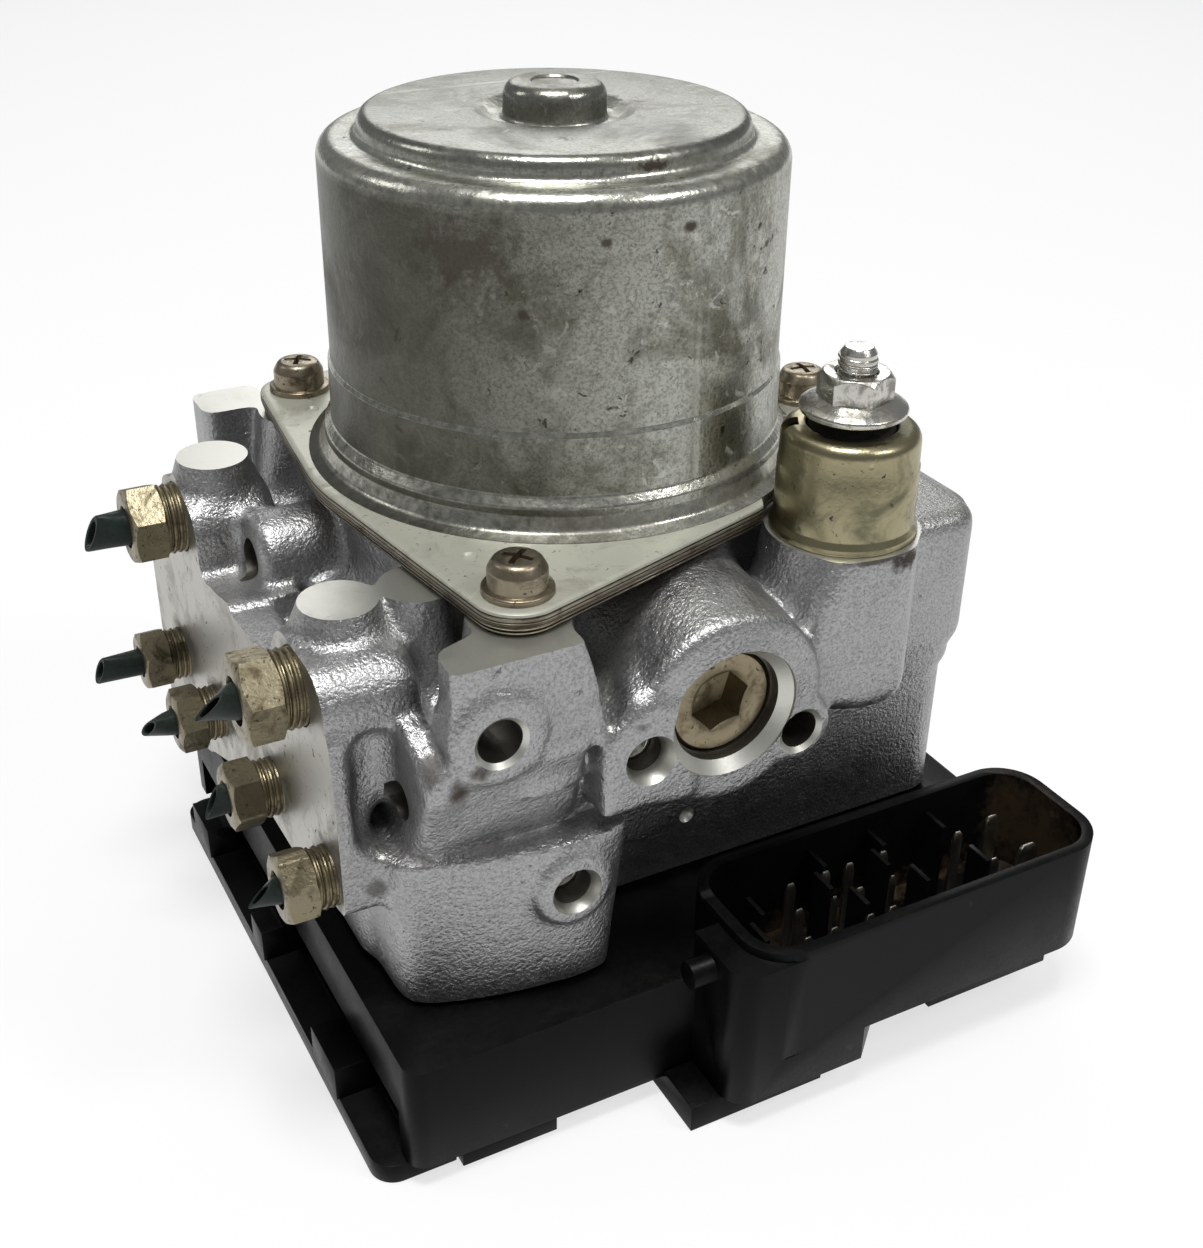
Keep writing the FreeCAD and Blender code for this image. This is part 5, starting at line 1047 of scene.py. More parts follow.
def build_materials(tones):
    """Every material by its name."""
    port_dirt = [((PORT_FACE, y, z), (3, 7.4, 7.4), 0.5, 0.55) for y, z in LARGE_PORTS + SMALL_PORTS]
    # metal: name, light and dark tone, roughness from and to, scale, cover and softness of the second
    # tone, scale and height of the grain, scratches, spots
    # plastic: name, tone, roughness, height of the grain, dust and its tone, dirt, rubbing
    return {
        "cast": cast_alloy("blasted cast alloy", tones.cast_light, tones.cast_dark),
        "machined": metal("machined alloy", (0.62, 0.62, 0.57), (0.46, 0.46, 0.40), (0.42, 0.55), 60, 0.5,
                          0.3, 1900, 0.012, 0.25, 0.08, spot_tone=(0.12, 0.1, 0.07)),
        "port_face": metal("stained port face", (0.46, 0.45, 0.41), (0.26, 0.24, 0.20), (0.4, 0.6), 110, 0.5,
                           0.2, 1500, 0.02, 0.0, 0.24, patches=port_dirt),
        # painted shade: dark tones for the faces deep inside the bores
        "bore": metal("dull bore", (0.17, 0.16, 0.14), (0.07, 0.06, 0.045), (0.4, 0.6), 240, 0.5, 0.2, 1200,
                      0.03, 0.2, 0.2, metallic=0.9),
        "can": can_zinc("zinc can"),
        "plate": metal("flange zinc", (0.44, 0.44, 0.37), (0.25, 0.24, 0.19), (0.42, 0.6), 160, 0.45, 0.2,
                       1300, 0.03, 0.3, 0.22, metallic=0.4),
        "layers": laminated("rusty laminated edge", (0.36, 0.32, 0.25), (0.10, 0.07, 0.045), 0.7),
        "screw": metal("zinc screw", (0.28, 0.24, 0.175), (0.085, 0.064, 0.04), (0.34, 0.58), 230, 0.5, 0.15,
                       1600, 0.03, 0.3, 0.3),
        "nut": metal("olive zinc nut", tones.nut_light, tones.nut_dark, (0.34, 0.55), 210, 0.5,
                     0.14, 1400, 0.06, 0.35, 0.3, metallic=0.9),
        "thread": metal("dark thread", (0.20, 0.165, 0.10), (0.06, 0.048, 0.03), (0.4, 0.6), 300, 0.5, 0.15,
                        1400, 0.04, 0.2, 0.3, metallic=0.85),
        "cup": metal("gold zinc cup", (0.34, 0.305, 0.19), (0.17, 0.165, 0.105), (0.3, 0.48), 120, 0.55, 0.14,
                     900, 0.05, 0.35, 0.22),
        "bright": metal("bright steel", (0.55, 0.54, 0.50), (0.24, 0.22, 0.185), (0.25, 0.5), 260, 0.45, 0.12,
                        1100, 0.07, 0.4, 0.2),
        "plug": metal("yellow zinc plug", (0.30, 0.255, 0.17), (0.16, 0.125, 0.075), (0.42, 0.62), 180, 0.5,
                      0.15, 1100, 0.05, 0.3, 0.25),
        "pipe": plastic("green coated pipe", (0.018, 0.026, 0.022), 0.34, 0.03, 0.3, (0.10, 0.09, 0.07),
                        rub=0.6),
        "cut": metal("cut pipe end", (0.42, 0.43, 0.42), (0.16, 0.17, 0.165), (0.3, 0.5), 500, 0.5, 0.1, 2200,
                     0.05, 0.5, 0.2),
        "rubber": plastic("bush rubber", (0.022, 0.021, 0.02), 0.62, 0.05, 0.6, (0.14, 0.12, 0.09),
                          fine=900.0),
        "black": plastic("black housing plastic", tones.plastic, 0.36, 0.014, 0.07, (0.07, 0.062, 0.05),
                         HOUSING_DIRT, 0.3),
        "seal": plastic("grey seal rubber", (0.03, 0.03, 0.032), 0.6, 0.03, 0.3),
        "tin": metal("tinned contact", (0.60, 0.56, 0.48), (0.44, 0.39, 0.31), (0.28, 0.42), 400, 0.5, 0.2,
                     2500, 0.01, 0.2, 0.05),
        "steel": metal("ground steel", (0.55, 0.55, 0.55), (0.42, 0.42, 0.41), (0.2, 0.35), 200, 0.4, 0.2,
                       2000, 0.006, 0.2),
        "spring": metal("oiled spring steel", (0.22, 0.21, 0.20), (0.12, 0.115, 0.11), (0.25, 0.4), 300, 0.4,
                        0.2, 1800, 0.01, 0.1),
        "magnet": metal("ferrite magnet", (0.07, 0.07, 0.072), (0.04, 0.04, 0.042), (0.5, 0.65), 160, 0.5,
                        0.2, 900, 0.04, 0.1, metallic=0.2),
        "core": laminated("core laminations", (0.42, 0.42, 0.43), (0.26, 0.26, 0.27), 0.7),
        "winding": laminated("enamelled winding", (0.44, 0.17, 0.06), (0.28, 0.09, 0.03), 0.8),
        "copper": metal("commutator copper", (0.72, 0.38, 0.22), (0.48, 0.22, 0.12), (0.25, 0.4), 260, 0.4,
                        0.2, 1800, 0.01, 0.3),
        "bronze": metal("bearing bronze", (0.52, 0.36, 0.17), (0.40, 0.26, 0.12), (0.3, 0.45), 240, 0.4, 0.2,
                        1500, 0.015, 0.2),
        "carbon": plastic("brush carbon", (0.02, 0.02, 0.021), 0.55, 0.03, 0.1),
        "brown": plastic("brown moulding", (0.10, 0.055, 0.025), 0.45, 0.015, 0.1),
        "coil": plastic("coil moulding", (0.03, 0.03, 0.034), 0.45, 0.015, 0.1),
        "green": plastic("green board", (0.01, 0.09, 0.035), 0.35, 0.008, 0.1),
        "alu": metal("turned alloy", (0.62, 0.62, 0.62), (0.5, 0.5, 0.5), (0.25, 0.4), 160, 0.4, 0.2, 1900,
                     0.01, 0.2),
    }


# Geometry Nodes that repeat a piece or run a thread
def link_inputs(change, tree, values):
    """Give a modifier its inputs by the names in its tree."""
    for item in tree.interface.items_tree:
        if item.item_type == "SOCKET" and item.in_out == "INPUT" and item.name in values:
            change[item.identifier] = values[item.name]


def start_tree(name, inputs):
    """The wiring, inputs and outputs of a new Geometry Nodes tree; more inputs: (name, kind, default)."""
    tree = bpy.data.node_groups.new(name, "GeometryNodeTree")
    tree.is_modifier = True
    tree.interface.new_socket("Geometry", in_out="INPUT", socket_type="NodeSocketGeometry")
    for label, kind, default in inputs:
        socket = tree.interface.new_socket(label, in_out="INPUT", socket_type="NodeSocket" + kind)
        if default is not None:
            socket.default_value = default
    tree.interface.new_socket("Geometry", in_out="OUTPUT", socket_type="NodeSocketGeometry")
    given, out = tree.nodes.new("NodeGroupInput").outputs, tree.nodes.new("NodeGroupOutput").inputs
    return Wiring(tree), given, out


def copies_on_points(w, given, shape, axis):
    """Instances of a shape on the points, each turned about the axis by its own angle plus chance."""
    own = w.node("GeometryNodeInputNamedAttribute", {"data_type": "FLOAT"}, Name="turn")
    chance = w.tree.nodes.new("FunctionNodeRandomValue")
    chance.data_type = "FLOAT"
    w.feed(chance.inputs[2], w.maths("MULTIPLY", given["Chance Turn"], -1.0))
    w.feed(chance.inputs[3], given["Chance Turn"])
    w.feed(chance.inputs["Seed"], given["Seed"])
    angle = w.maths("ADD", own.outputs["Attribute"], chance.outputs[1])
    turn = w.node("ShaderNodeVectorMath", {"operation": "SCALE"})
    w.feed(turn.inputs[0], axis)
    w.feed(turn.inputs["Scale"], angle)
    made = w.tree.nodes.new("GeometryNodeInstanceOnPoints")
    w.feed(made.inputs["Points"], given["Geometry"])
    w.feed(made.inputs["Instance"], shape)
    w.feed(made.inputs["Rotation"], turn.outputs[0])
    real = w.tree.nodes.new("GeometryNodeRealizeInstances")
    w.feed(real.inputs[0], made.outputs[0])
    painted = w.tree.nodes.new("GeometryNodeSetMaterial")
    w.feed(painted.inputs["Geometry"], real.outputs[0])
    w.feed(painted.inputs["Material"], given["Material"])
    return painted.outputs[0]


def build_trees():
    """The Geometry Nodes trees."""
    shared = [("Axis", "Vector", (0, 0, 1)), ("Chance Turn", "Float", 0.0), ("Seed", "Int", 3),
              ("Material", "Material", None)]
    w, given, out = start_tree("Set Out Copies", [("Piece", "Object", None)] + shared)
    fetch = w.tree.nodes.new("GeometryNodeObjectInfo")
    w.feed(fetch.inputs["Object"], given["Piece"])
    w.feed(out["Geometry"], copies_on_points(w, given, fetch.outputs["Geometry"], given["Axis"]))

    # a thread is a thin ridge along a helix
    w, given, out = start_tree("Set Out Threads", [
        ("Radius", "Float", 0.003), ("Pitch", "Float", 0.001), ("Length", "Float", 0.01),
        ("Ridge", "Float", 0.0004), ("Lay", "Vector", (0, 0, 0))] + shared)
    spiral = w.tree.nodes.new("GeometryNodeCurveSpiral")
    w.feed(spiral.inputs["Resolution"], 40)
    w.feed(spiral.inputs["Rotations"], w.maths("DIVIDE", given["Length"], given["Pitch"]))
    w.feed(spiral.inputs["Start Radius"], given["Radius"])
    w.feed(spiral.inputs["End Radius"], given["Radius"])
    w.feed(spiral.inputs["Height"], given["Length"])
    ridge = w.tree.nodes.new("GeometryNodeCurvePrimitiveCircle")
    w.feed(ridge.inputs["Resolution"], 4)
    w.feed(ridge.inputs["Radius"], given["Ridge"])
    sweep = w.tree.nodes.new("GeometryNodeCurveToMesh")
    w.feed(sweep.inputs["Curve"], spiral.outputs[0])
    w.feed(sweep.inputs["Profile Curve"], ridge.outputs[0])
    sweep.inputs["Fill Caps"].default_value = True
    laid = w.tree.nodes.new("GeometryNodeTransform")
    w.feed(laid.inputs["Geometry"], sweep.outputs[0])
    w.feed(laid.inputs["Rotation"], given["Lay"])
    w.feed(out["Geometry"], copies_on_points(w, given, laid.outputs[0], given["Axis"]))


def places(points, turns):
    """A mesh of loose points, in millimetres, each with its turn in radians."""
    mesh = bpy.data.meshes.new("places")
    mesh.from_pydata([[c * MM for c in p] for p in points], [], [])
    mesh.attributes.new("turn", "FLOAT", "POINT").data.foreach_set("value", turns)
    return mesh


def run_tree(name, tree_name, points, turns, **values):
    """An object that a tree makes on some points, as a plain mesh."""
    made = put(name, places(points, turns))
    change = made.modifiers.new("nodes", "NODES")
    change.node_group = bpy.data.node_groups[tree_name]
    link_inputs(change, change.node_group, {k.replace("_", " "): v for k, v in values.items()})
    bake_modifiers(made)
    made.data.name = name
    return made


def repeat(name, master, points, turns, material, axis="Z", chance=0.0, seed=3):
    """Copies of a mesh on points, turned about an axis; the master is used up."""
    model = put("master", master)
    made = run_tree(name, "Set Out Copies", points, turns, Piece=model, Material=material,
                    Axis=[float(axis == a) for a in "XYZ"], Chance_Turn=chance, Seed=seed)
    bpy.data.objects.remove(model)
    return made


def thread(name, points, radius, pitch, length, ridge, material, axis="Z"):
    """Helical thread ridges that run from points along X or Z."""
    lay = {"Z": (0, 0, 0), "X": (0, math.pi / 2, 0)}[axis]
    made = run_tree(name, "Set Out Threads", points, [0.0] * len(points), Radius=radius * MM,
                    Pitch=pitch * MM, Length=length * MM, Ridge=ridge * MM, Lay=lay,
                    Axis=[float(axis == a) for a in "XYZ"], Material=material)
    made.data = outward(made.data)
    return made


def merge(target, *others):
    """Join objects into the first, with their materials."""
    build = bmesh.new()
    slots = []
    for made in (target,) + others:
        numbers = []
        for material in made.data.materials:
            if material not in slots:
                slots.append(material)
            numbers.append(slots.index(material))
        mesh = made.data.copy()
        for face in mesh.polygons:
            face.material_index = numbers[face.material_index] if numbers else 0
        build.from_mesh(mesh)
        bpy.data.meshes.remove(mesh)
    joined = bpy.data.meshes.new(target.name)
    build.to_mesh(joined)
    build.free()
    for material in slots:
        joined.materials.append(material)
    target.data = joined
    for made in others:
        bpy.data.objects.remove(made)
    return target


def paint(made, *materials):
    """Give an object its materials."""
    made.data.materials.clear()
    for material in materials:
        made.data.materials.append(material)
    return made


# Motor
def flange_outline(grow=0.0, steps=180):
    """Outline of the motor flange: a disc drawn out to three screw ears."""
    circles = [(0, 0, 42.0)] + [(x, y, 6.9) for x, y in SCREW_PLACES]
    points = []
    for index in range(steps):
        angle = 2 * math.pi * index / steps
        c, s = math.cos(angle), math.sin(angle)
        x, y, radius = max(circles, key=lambda o: o[0] * c + o[1] * s + o[2])
        points.append((x + (radius + grow) * c, y + (radius + grow) * s))
    return points


def plate_mesh(levels):
    """A plate with the flange outline, grown by an amount at each level."""
    points, faces = [], []
    for height, grow in levels:
        points += [(x, y, height) for x, y in flange_outline(grow)]
    count = len(points) // len(levels)
    for row in range(len(levels) - 1):
        for i in range(count):
            j = (i + 1) % count
            a, b = row * count, (row + 1) * count
            faces.append([a + i, a + j, b + j, b + i])
    faces.append(list(range(count))[::-1])
    faces.append(list(range(len(points) - count, len(points))))
    return outward(mesh_from("plate", points, faces))


def mount_notch():
    """Cutter for the room round the mount."""
    return rod("Z", *MOUNT_AXIS, 12.6, 80, 95, 0, 96)


def face_slots(made, test):
    """Set each face's material slot from its centre and normal, in millimetres."""
    for face in made.data.polygons:
        face.material_index = test(face.center / MM, face.normal)


def make_can(mats, sizes):
    """Drawn motor can on its lobed flange."""
    radius = sizes.can_radius / MM
    top = FLANGE_TOP + 49.7
    profile = rounded([
        (CAN_BORE, 87.0), (40.6, 87.0), (40.4, 88.1), (38.5, 88.8, 1.2), (37.7, 91.0, 1.0),
        (37.6, 92.2, 1.0), (radius + 0.5, 93.6, 1.0), (radius + 0.4, 102.8, 0.4), (radius, 103.5, 0.4),
        (radius, top, sizes.can_shoulder / MM), (30.0, top - 0.2, 1.3), (29.6, 141.0, 3.2),
        (12.2, 141.0, 2.0), (9.6, 139.5, 1.2), (7.9, 139.7, 0.9), (7.7, 145.0, 2.6), (3.7, 145.0, 0.3),
        (3.3, 144.6, 0.3), (0, 144.6), (0, 143.0), (5.8, 143.0),
        (5.8, 138.0), (26.8, 138.8, 1), (28.2, 135.9, 1), (CAN_BORE, 135.9, 3.2)], True, 6)
    can = put("motor_can_shell", turned(profile, 128, closed=True))
    plate = put("plate", plate_mesh([
        (FLANGE_BASE, -0.25), (86.35, 0), (87.0, 0), (87.08, -0.22), (87.16, 0), (87.5, 0), (87.8, -0.12),
        (87.95, -0.4), (FLANGE_TOP, -0.95)]))
    dents = [turned([(0, 87.55), (0.9, 87.65), (1.5, 88.3), (0, 88.3)], 24, "Z", (x, y, 0))
             for x, y in ((-30.7, -33.9), (-32.7, 27.4))]
    carve(plate, [mount_notch()] + dents, "EXACT")
    carve(plate, [rod("Z", 0, 0, CAN_BORE, 80, 100)], "EXACT")
    shade(plate, 40)
    shade(can, 40)
    paint(can, mats["can"])
    paint(plate, mats["plate"], mats["layers"])
    face_slots(plate, lambda c, n: 1 if abs(n.z) < 0.45 and c.z < 87.4 and c.xy.length > 38 else 0)
    merge(can, plate)
    piece(can, ["motor_can"])
    base = put("motor_base_plate", plate_mesh([
        (MOTOR_FACE, -1.2), (84.5, -0.5), (84.9, -0.4), (85.0, -0.8), (85.15, -0.8), (85.25, -0.3),
        (85.6, -0.2), (85.68, -0.45), (85.76, -0.15), (86.05, -0.1), (FLANGE_BASE, -0.3)]))
    carve(base, [mount_notch()], "EXACT")
    carve(base, [rod("Z", 0, 0, MOTOR_BORE, 80, 100)], "EXACT")
    shade(base, 40)
    paint(base, mats["layers"])
    piece(base, ["motor_end_plate"])


def make_motor_screws(mats):
    """Three pan-head screws with washers and cross recesses."""
    head = put("master_screw", turned(rounded([
        (0, -0.05), (5.2, -0.05, 0.2), (5.2, 0.95, 0.3), (4.3, 1.0), (4.3, 3.6, 1.0), (3.4, 5.2, 1.2),
        (0, 5.5)], False), 64))
    recess = [extruded([(-2.3, -0.45), (2.3, -0.45), (2.3, 0.45), (-2.3, 0.45)], 3.2, 7),
              extruded([(-0.45, -2.3), (0.45, -2.3), (0.45, 2.3), (-0.45, 2.3)], 3.2, 7)]
    carve(head, recess[:1], "EXACT")
    carve(head, recess[1:], "EXACT")
    soften(head, 0.12, 40)
    shade(head, 40)
    master = head.data
    bpy.data.objects.remove(head)
    points = [(x, y, FLANGE_TOP) for x, y in SCREW_PLACES]
    screws = repeat("motor_screw_heads", master, points, [0.5, 1.1, 0.2], mats["screw"], "Z", 0.4, 7)
    shanks = repeat("motor_screw_shanks", rod("Z", 0, 0, 2.4, -15, 0.1, 0, 24), points, [0, 0, 0],
                    mats["screw"])
    merge(screws, shanks)
    piece(screws, ["motor_screws"])


# Pipe connections
def hexagon(flat, turn=0.0):
    """Outline of a hexagon from its width across flats."""
    radius = flat / math.sqrt(3)
    return [(radius * math.cos(turn + math.pi * i / 3), radius * math.sin(turn + math.pi * i / 3))
            for i in range(6)]


def nut_master(flat, length, bore, collar):
    """A flare nut along X: its hexagon ends at 0, its collar runs on towards +X."""
    nut = put("nut", extruded(hexagon(flat), -length, 0, "X"))
    far = flat * 0.6
    keep = turned([(0, -length), (flat * 0.47, -length), (far, -length + flat * 0.075),
                   (far, -flat * 0.05), (flat * 0.5, 0), (0, 0)], 96, "X")
    carve(nut, [keep], "EXACT", "INTERSECT")
    carve(nut, [turned([(0, -length - 1), (bore + 0.9, -length - 1), (bore + 0.35, -length + 0.5),
                        (bore + 0.35, -length + 2.2), (0, -length + 2.2)], 48, "X")], "EXACT")
    soften(nut, 0.16, 35)
    ring = put("ring", turned(rounded([(0, -0.2), (collar - 0.5, -0.2), (collar - 0.35, 0.6),
                                       (collar - 0.35, 9.0), (0, 9.0)], False), 48, "X"))
    merge(nut, ring)
    shade(nut, 35)
    mesh = nut.data
    bpy.data.objects.remove(nut)
    return mesh


def make_nuts(mats, name, ports, flat, length, collar, end, bore, turns, replaced):
    """Flare nuts on a row of ports, turned by degrees, with the threads between nut and block."""
    face = end + length
    points = [(face, y, z) for y, z in ports]
    nuts = repeat(name, nut_master(flat, length, bore, collar), points, [math.radians(a) for a in turns],
                  mats["nut"], "X", 0.05, 11)
    shade(nuts, 35)
    ridges = thread(name + "_threads", points, collar - 0.42, 1.0, PORT_FACE - face + 1.5, 0.5,
                    mats["thread"], "X")
    merge(nuts, ridges)
    piece(nuts, [replaced])


def stub_mesh(y, z, radius, start, end, slant, pinch, roll):
    """A cut pipe along X: its free end is oblique by slant and pinched across by pinch."""
    segments, points, faces, rows = 36, [], [], []
    wall = radius * 0.3
    spots = [(start, 0.0, radius), (start + (end - start) * 0.45, 0.0, radius),
             (start + (end - start) * 0.7, 0.35, radius), (end + 0.25, 0.95, radius),
             (end, 1.0, radius - 0.14), (end + 0.1, 1.0, radius - wall), (end + 2.4, 0.6, radius - wall)]
    for x, share, size in spots:
        rows.append(len(points))
        for i in range(segments):
            angle = 2 * math.pi * i / segments
            u, v = size * math.cos(angle), size * math.sin(angle)
            v *= 1 - pinch * share
            u *= 1 + pinch * share * 0.35
            lean = (u * math.cos(0.6) + v * math.sin(0.6)) * slant * share
            c, s = math.cos(roll), math.sin(roll)
            points.append((x + lean, y + u * c - v * s, z + u * s + v * c))
    for low, high in zip(rows, rows[1:]):
        for i in range(segments):
            j = (i + 1) % segments
            faces.append([low + i, high + i, high + j, low + j])
    faces.append(list(range(segments)))
    faces.append(list(range(rows[-1], rows[-1] + segments))[::-1])
    mesh = outward(mesh_from("stub", points, faces))
    for index, face in enumerate(mesh.polygons):
        if 3 * segments <= index < 5 * segments:
            face.material_index = 1
    return mesh


def make_stubs(mats, name, replaced, ports, radius, cuts):
    """Cut pipe ends on a row of ports; each cut is its end, slant, pinch and roll."""
    made = put(name, join_meshes([stub_mesh(y, z, radius, PIPE_START, *cut)
                                  for (y, z), cut in zip(ports, cuts)]))
    shade(made, 35)
    paint(made, mats["pipe"], mats["cut"])
    piece(made, [replaced])


# Plugs
def make_plugs(mats):
    """Pump plugs with hexagon sockets, and the pressed plugs of the sealed channels."""
    level = -PLUG_FACE
    meshes = []
    for sign in (1, -1):
        plug = put("plug", turned(rounded([
            (0, -level * sign), (8.0, -level * sign, 0.2), (8.55, -(level - 0.7) * sign, 0.2),
            (8.55, -(level - 7.8) * sign), (5.8, -(level - 8.2) * sign), (0, -(level - 8.2) * sign)], False),
            96, "Y", (0, 0, PUMP_HEIGHT)))
        out = [(u, v + PUMP_HEIGHT) for u, v in hexagon(8.6, 0.25)]
        carve(plug, [extruded(out, *sorted((-(level + 1) * sign, -(level - 5.4) * sign)), "Y")], "EXACT")
        carve(plug, [turned([(0, -(level + 0.5) * sign), (6.2, -(level + 0.5) * sign),
                             (4.2, -(level - 0.7) * sign), (0, -(level - 0.7) * sign)],
                            64, "Y", (0, 0, PUMP_HEIGHT))], "EXACT")
        soften(plug, 0.15, 35)
        plug.data.name = "plug_mesh"
        meshes.append(plug.data)
        bpy.data.objects.remove(plug)
    plugs = put("pump_hex_plugs", join_meshes(meshes))
    shade(plugs, 35)
    paint(plugs, mats["plug"])
    piece(plugs, ["pump_plugs"])
    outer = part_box("channel_plugs")[0].y / MM
    master = turned(rounded([(0, 2.2), (2.98, 2.2), (2.98, 0.3, 0.25), (2.3, 0.1, 0.2), (1.7, 0.9, 0.3),
                             (0, 0.7)], False), 48, "Y")
    spots = [(x, outer, z) for x, z in SEALED_CHANNELS]
    sealed = repeat("sealed_channel_plugs", master, spots, [0.0, 0.8], mats["bright"], "Y")
    shade(sealed, 35)
    piece(sealed, ["channel_plugs"])


# Rubber mount
def make_mount(mats):
    """Steel cup, rubber bush, threaded stud and flanged nut of the rubber mount."""
    x, y = MOUNT_AXIS
    base, top = MOTOR_FACE, MOTOR_FACE + 17.0
    place = (x, y, 0)
    cup = put("mount_steel_cup", turned(rounded([
        (10.6, base), (11.5, base, 0.3), (11.35, base + 1.0, 0.5), (10.85, base + 2.0, 0.8),
        (10.8, top - 6.0), (10.65, top - 5.7), (10.55, top - 0.2, 2.8), (6.9, top + 0.1, 0.4),
        (6.9, top - 0.9), (9.6, top - 1.0, 1.6), (9.8, base)], True, 6), 128, place=place, closed=True))
    angle = math.radians(150)
    notch = extruded([(-1.2, -1.5), (1.2, -1.5), (1.2, 1.5), (-1.2, 1.5)], top - 2.6, top + 2)
    spot = (x * MM + 9.2 * MM * math.cos(angle), y * MM + 9.2 * MM * math.sin(angle), 0)
    notch.transform(Matrix.Translation(spot) @ Matrix.Rotation(angle, 4, "Z"))
    carve(cup, [notch], "EXACT")
    shade(cup, 35)
    paint(cup, mats["cup"])
    piece(cup, ["mount_cup"])
    bush = put("mount_rubber_bush", turned(rounded([
        (3.05, base + 0.1), (9.6, base + 0.1), (9.55, top - 3.5, 1.6), (8.0, top - 1.3, 0.6),
        (6.8, top - 1.2), (6.6, top - 0.2, 0.6), (4.9, top + 0.8, 0.6), (4.7, top + 2.0),
        (3.05, top + 2.0)], True, 5), 96, place=place, closed=True))
    shade(bush, 35)
    paint(bush, mats["rubber"])
    piece(bush, ["mount_bush"])
    tip = base + 29.0
    stud = put("mount_threaded_stud", turned(rounded([
        (0, base - 9.5), (2.74, base - 9.5), (2.74, tip - 0.9, 0.2), (2.1, tip, 0.2), (0, tip)], False), 48,
        place=place))
    paint(stud, mats["bright"])
    shade(stud, 35)
    merge(stud, thread("stud_thread", [(x, y, base + 23.4)], 2.72, 0.9, 4.5, 0.3, mats["bright"]))
    piece(stud, ["mount_stud"])
    foot = top + 2.02
    nut = put("mount_flange_nut", extruded(hexagon(10.0, 0.35), foot + 0.8, foot + 6.2, "Z", place))
    keep = turned([(0, foot), (5.9, foot), (5.9, foot + 5.2), (4.9, foot + 6.2), (0, foot + 6.2)], 64,
                  place=place)
    carve(nut, [keep], "EXACT", "INTERSECT")
    carve(nut, [turned([(0, foot + 4), (2.95, foot + 4), (2.95, foot + 5.6), (3.6, foot + 6.6),
                        (0, foot + 6.6)], 48, place=place)], "EXACT")
    soften(nut, 0.2, 35)
    collar = put("collar", turned(rounded([
        (3.02, foot), (8.1, foot, 0.3), (8.25, foot + 0.9, 0.5), (7.2, foot + 1.5, 0.5),
        (5.4, foot + 2.3, 0.4), (3.02, foot + 2.3)], True), 96, place=place, closed=True))
    merge(nut, collar)
    shade(nut, 35)
    paint(nut, mats["bright"])
    piece(nut, ["mount_nut"])


# Controller
def finish_corner(made):
    """Fill the groove beside the shroud's front corner and round the pillar under it."""
    left, front, top = SHROUD_LEFT, SHROUD_FRONT, SHROUD_TOP
    filler = [(left + 4.1, front), (left + 8.05, front), (left + 8.05, front + 1.5),
              (left + 6.2, front + 1.7), (left + 4.1, front + 2.5)]
    carve(made, [extruded(filler, 12.0, top)], "EXACT", "UNION")
    edge, radius = left - 4.2, 4.0
    turns = [math.radians(90 * i / 8) for i in range(9)]
    arc = [(edge + radius - radius * math.sin(a), front + radius - radius * math.cos(a)) for a in turns]
    outside = [(edge - 1, front + radius), (edge - 1, front - 1), (edge + radius, front - 1)]
    carve(made, [extruded(outside + arc, -2, top + 0.2)], "EXACT")


def softened_copy(name, node, width, material, change=None):
    """A copy of a CAD node with merged faces and rounded edges."""
    made = put(name, nodes[node].data.copy())
    made.data.name = name
    build = bmesh.new()
    build.from_mesh(made.data)
    bmesh.ops.remove_doubles(build, verts=build.verts, dist=0.002 * MM)
    bmesh.ops.dissolve_limit(build, angle_limit=math.radians(0.6), verts=build.verts, edges=build.edges)
    build.to_mesh(made.data)
    build.free()
    if change:
        change(made)
    soften(made, width, 28.0)
    shade(made, 32)
    paint(made, material)
    piece(made, [node])
    return made


# Contacts of the connector: x, y, width
SIGNAL_PINS = [(13.6, -57.5, 1.9), (20.4, -57.5, 1.9), (25.2, -57.5, 1.9), (32.0, -57.5, 1.9),
               (11.3, -63.4, 1.9), (18.1, -63.4, 1.0), (23.0, -63.4, 1.9), (29.6, -63.4, 1.0),
               (8.7, -69.6, 1.9), (13.7, -69.6, 1.9), (20.6, -69.6, 1.9), (25.0, -69.6, 1.9),
               (46.5, -59.0, 1.9), (47.3, -67.4, 1.9)]
POWER_BLADES = [(54.9, -67.0, 4.0), (54.7, -58.0, 3.0)]


def contact(width, thickness, low, high):
    """A flat contact with a bevelled tip."""
    half, slim = width / 2, thickness / 2
    levels = [(low, half, slim), (high - 1.6, half, slim), (high - 0.5, half * 0.8, slim * 0.8),
              (high, half * 0.5, slim * 0.35)]
    points, faces = [], []
    for z, a, b in levels:
        points += [(-a, -b, z), (a, -b, z), (a, b, z), (-a, b, z)]
    for row in range(len(levels) - 1):
        for i in range(4):
            j = (i + 1) % 4
            faces.append([4 * row + i, 4 * row + j, 4 * row + 4 + j, 4 * row + 4 + i])
    faces += [[3, 2, 1, 0], [4 * len(levels) - 4 + i for i in range(4)]]
    return outward(mesh_from("contact", points, faces))


def make_contacts(mats):
    """Signal pins and power blades of the connector."""
    for name, node, rows, thickness in (("signal_contacts", "signal_pins", SIGNAL_PINS, 0.7),
                                        ("power_contacts", "power_blades", POWER_BLADES, 0.8)):
        low, high = [v.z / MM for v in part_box(node)]
        parts = []
        for width in sorted({row[2] for row in rows}):
            spots = [(x, y, 0) for x, y, w in rows if w == width]
            master = put("contact", contact(width, thickness, low, high))
            soften(master, 0.07, 35)
            mesh = master.data
            bpy.data.objects.remove(master)
            parts.append(repeat("contacts", mesh, spots, [0.0] * len(spots), mats["tin"]))
        made = merge(*parts)
        made.name = name
        made.data.name = name
        shade(made, 30)
        piece(made, [node])


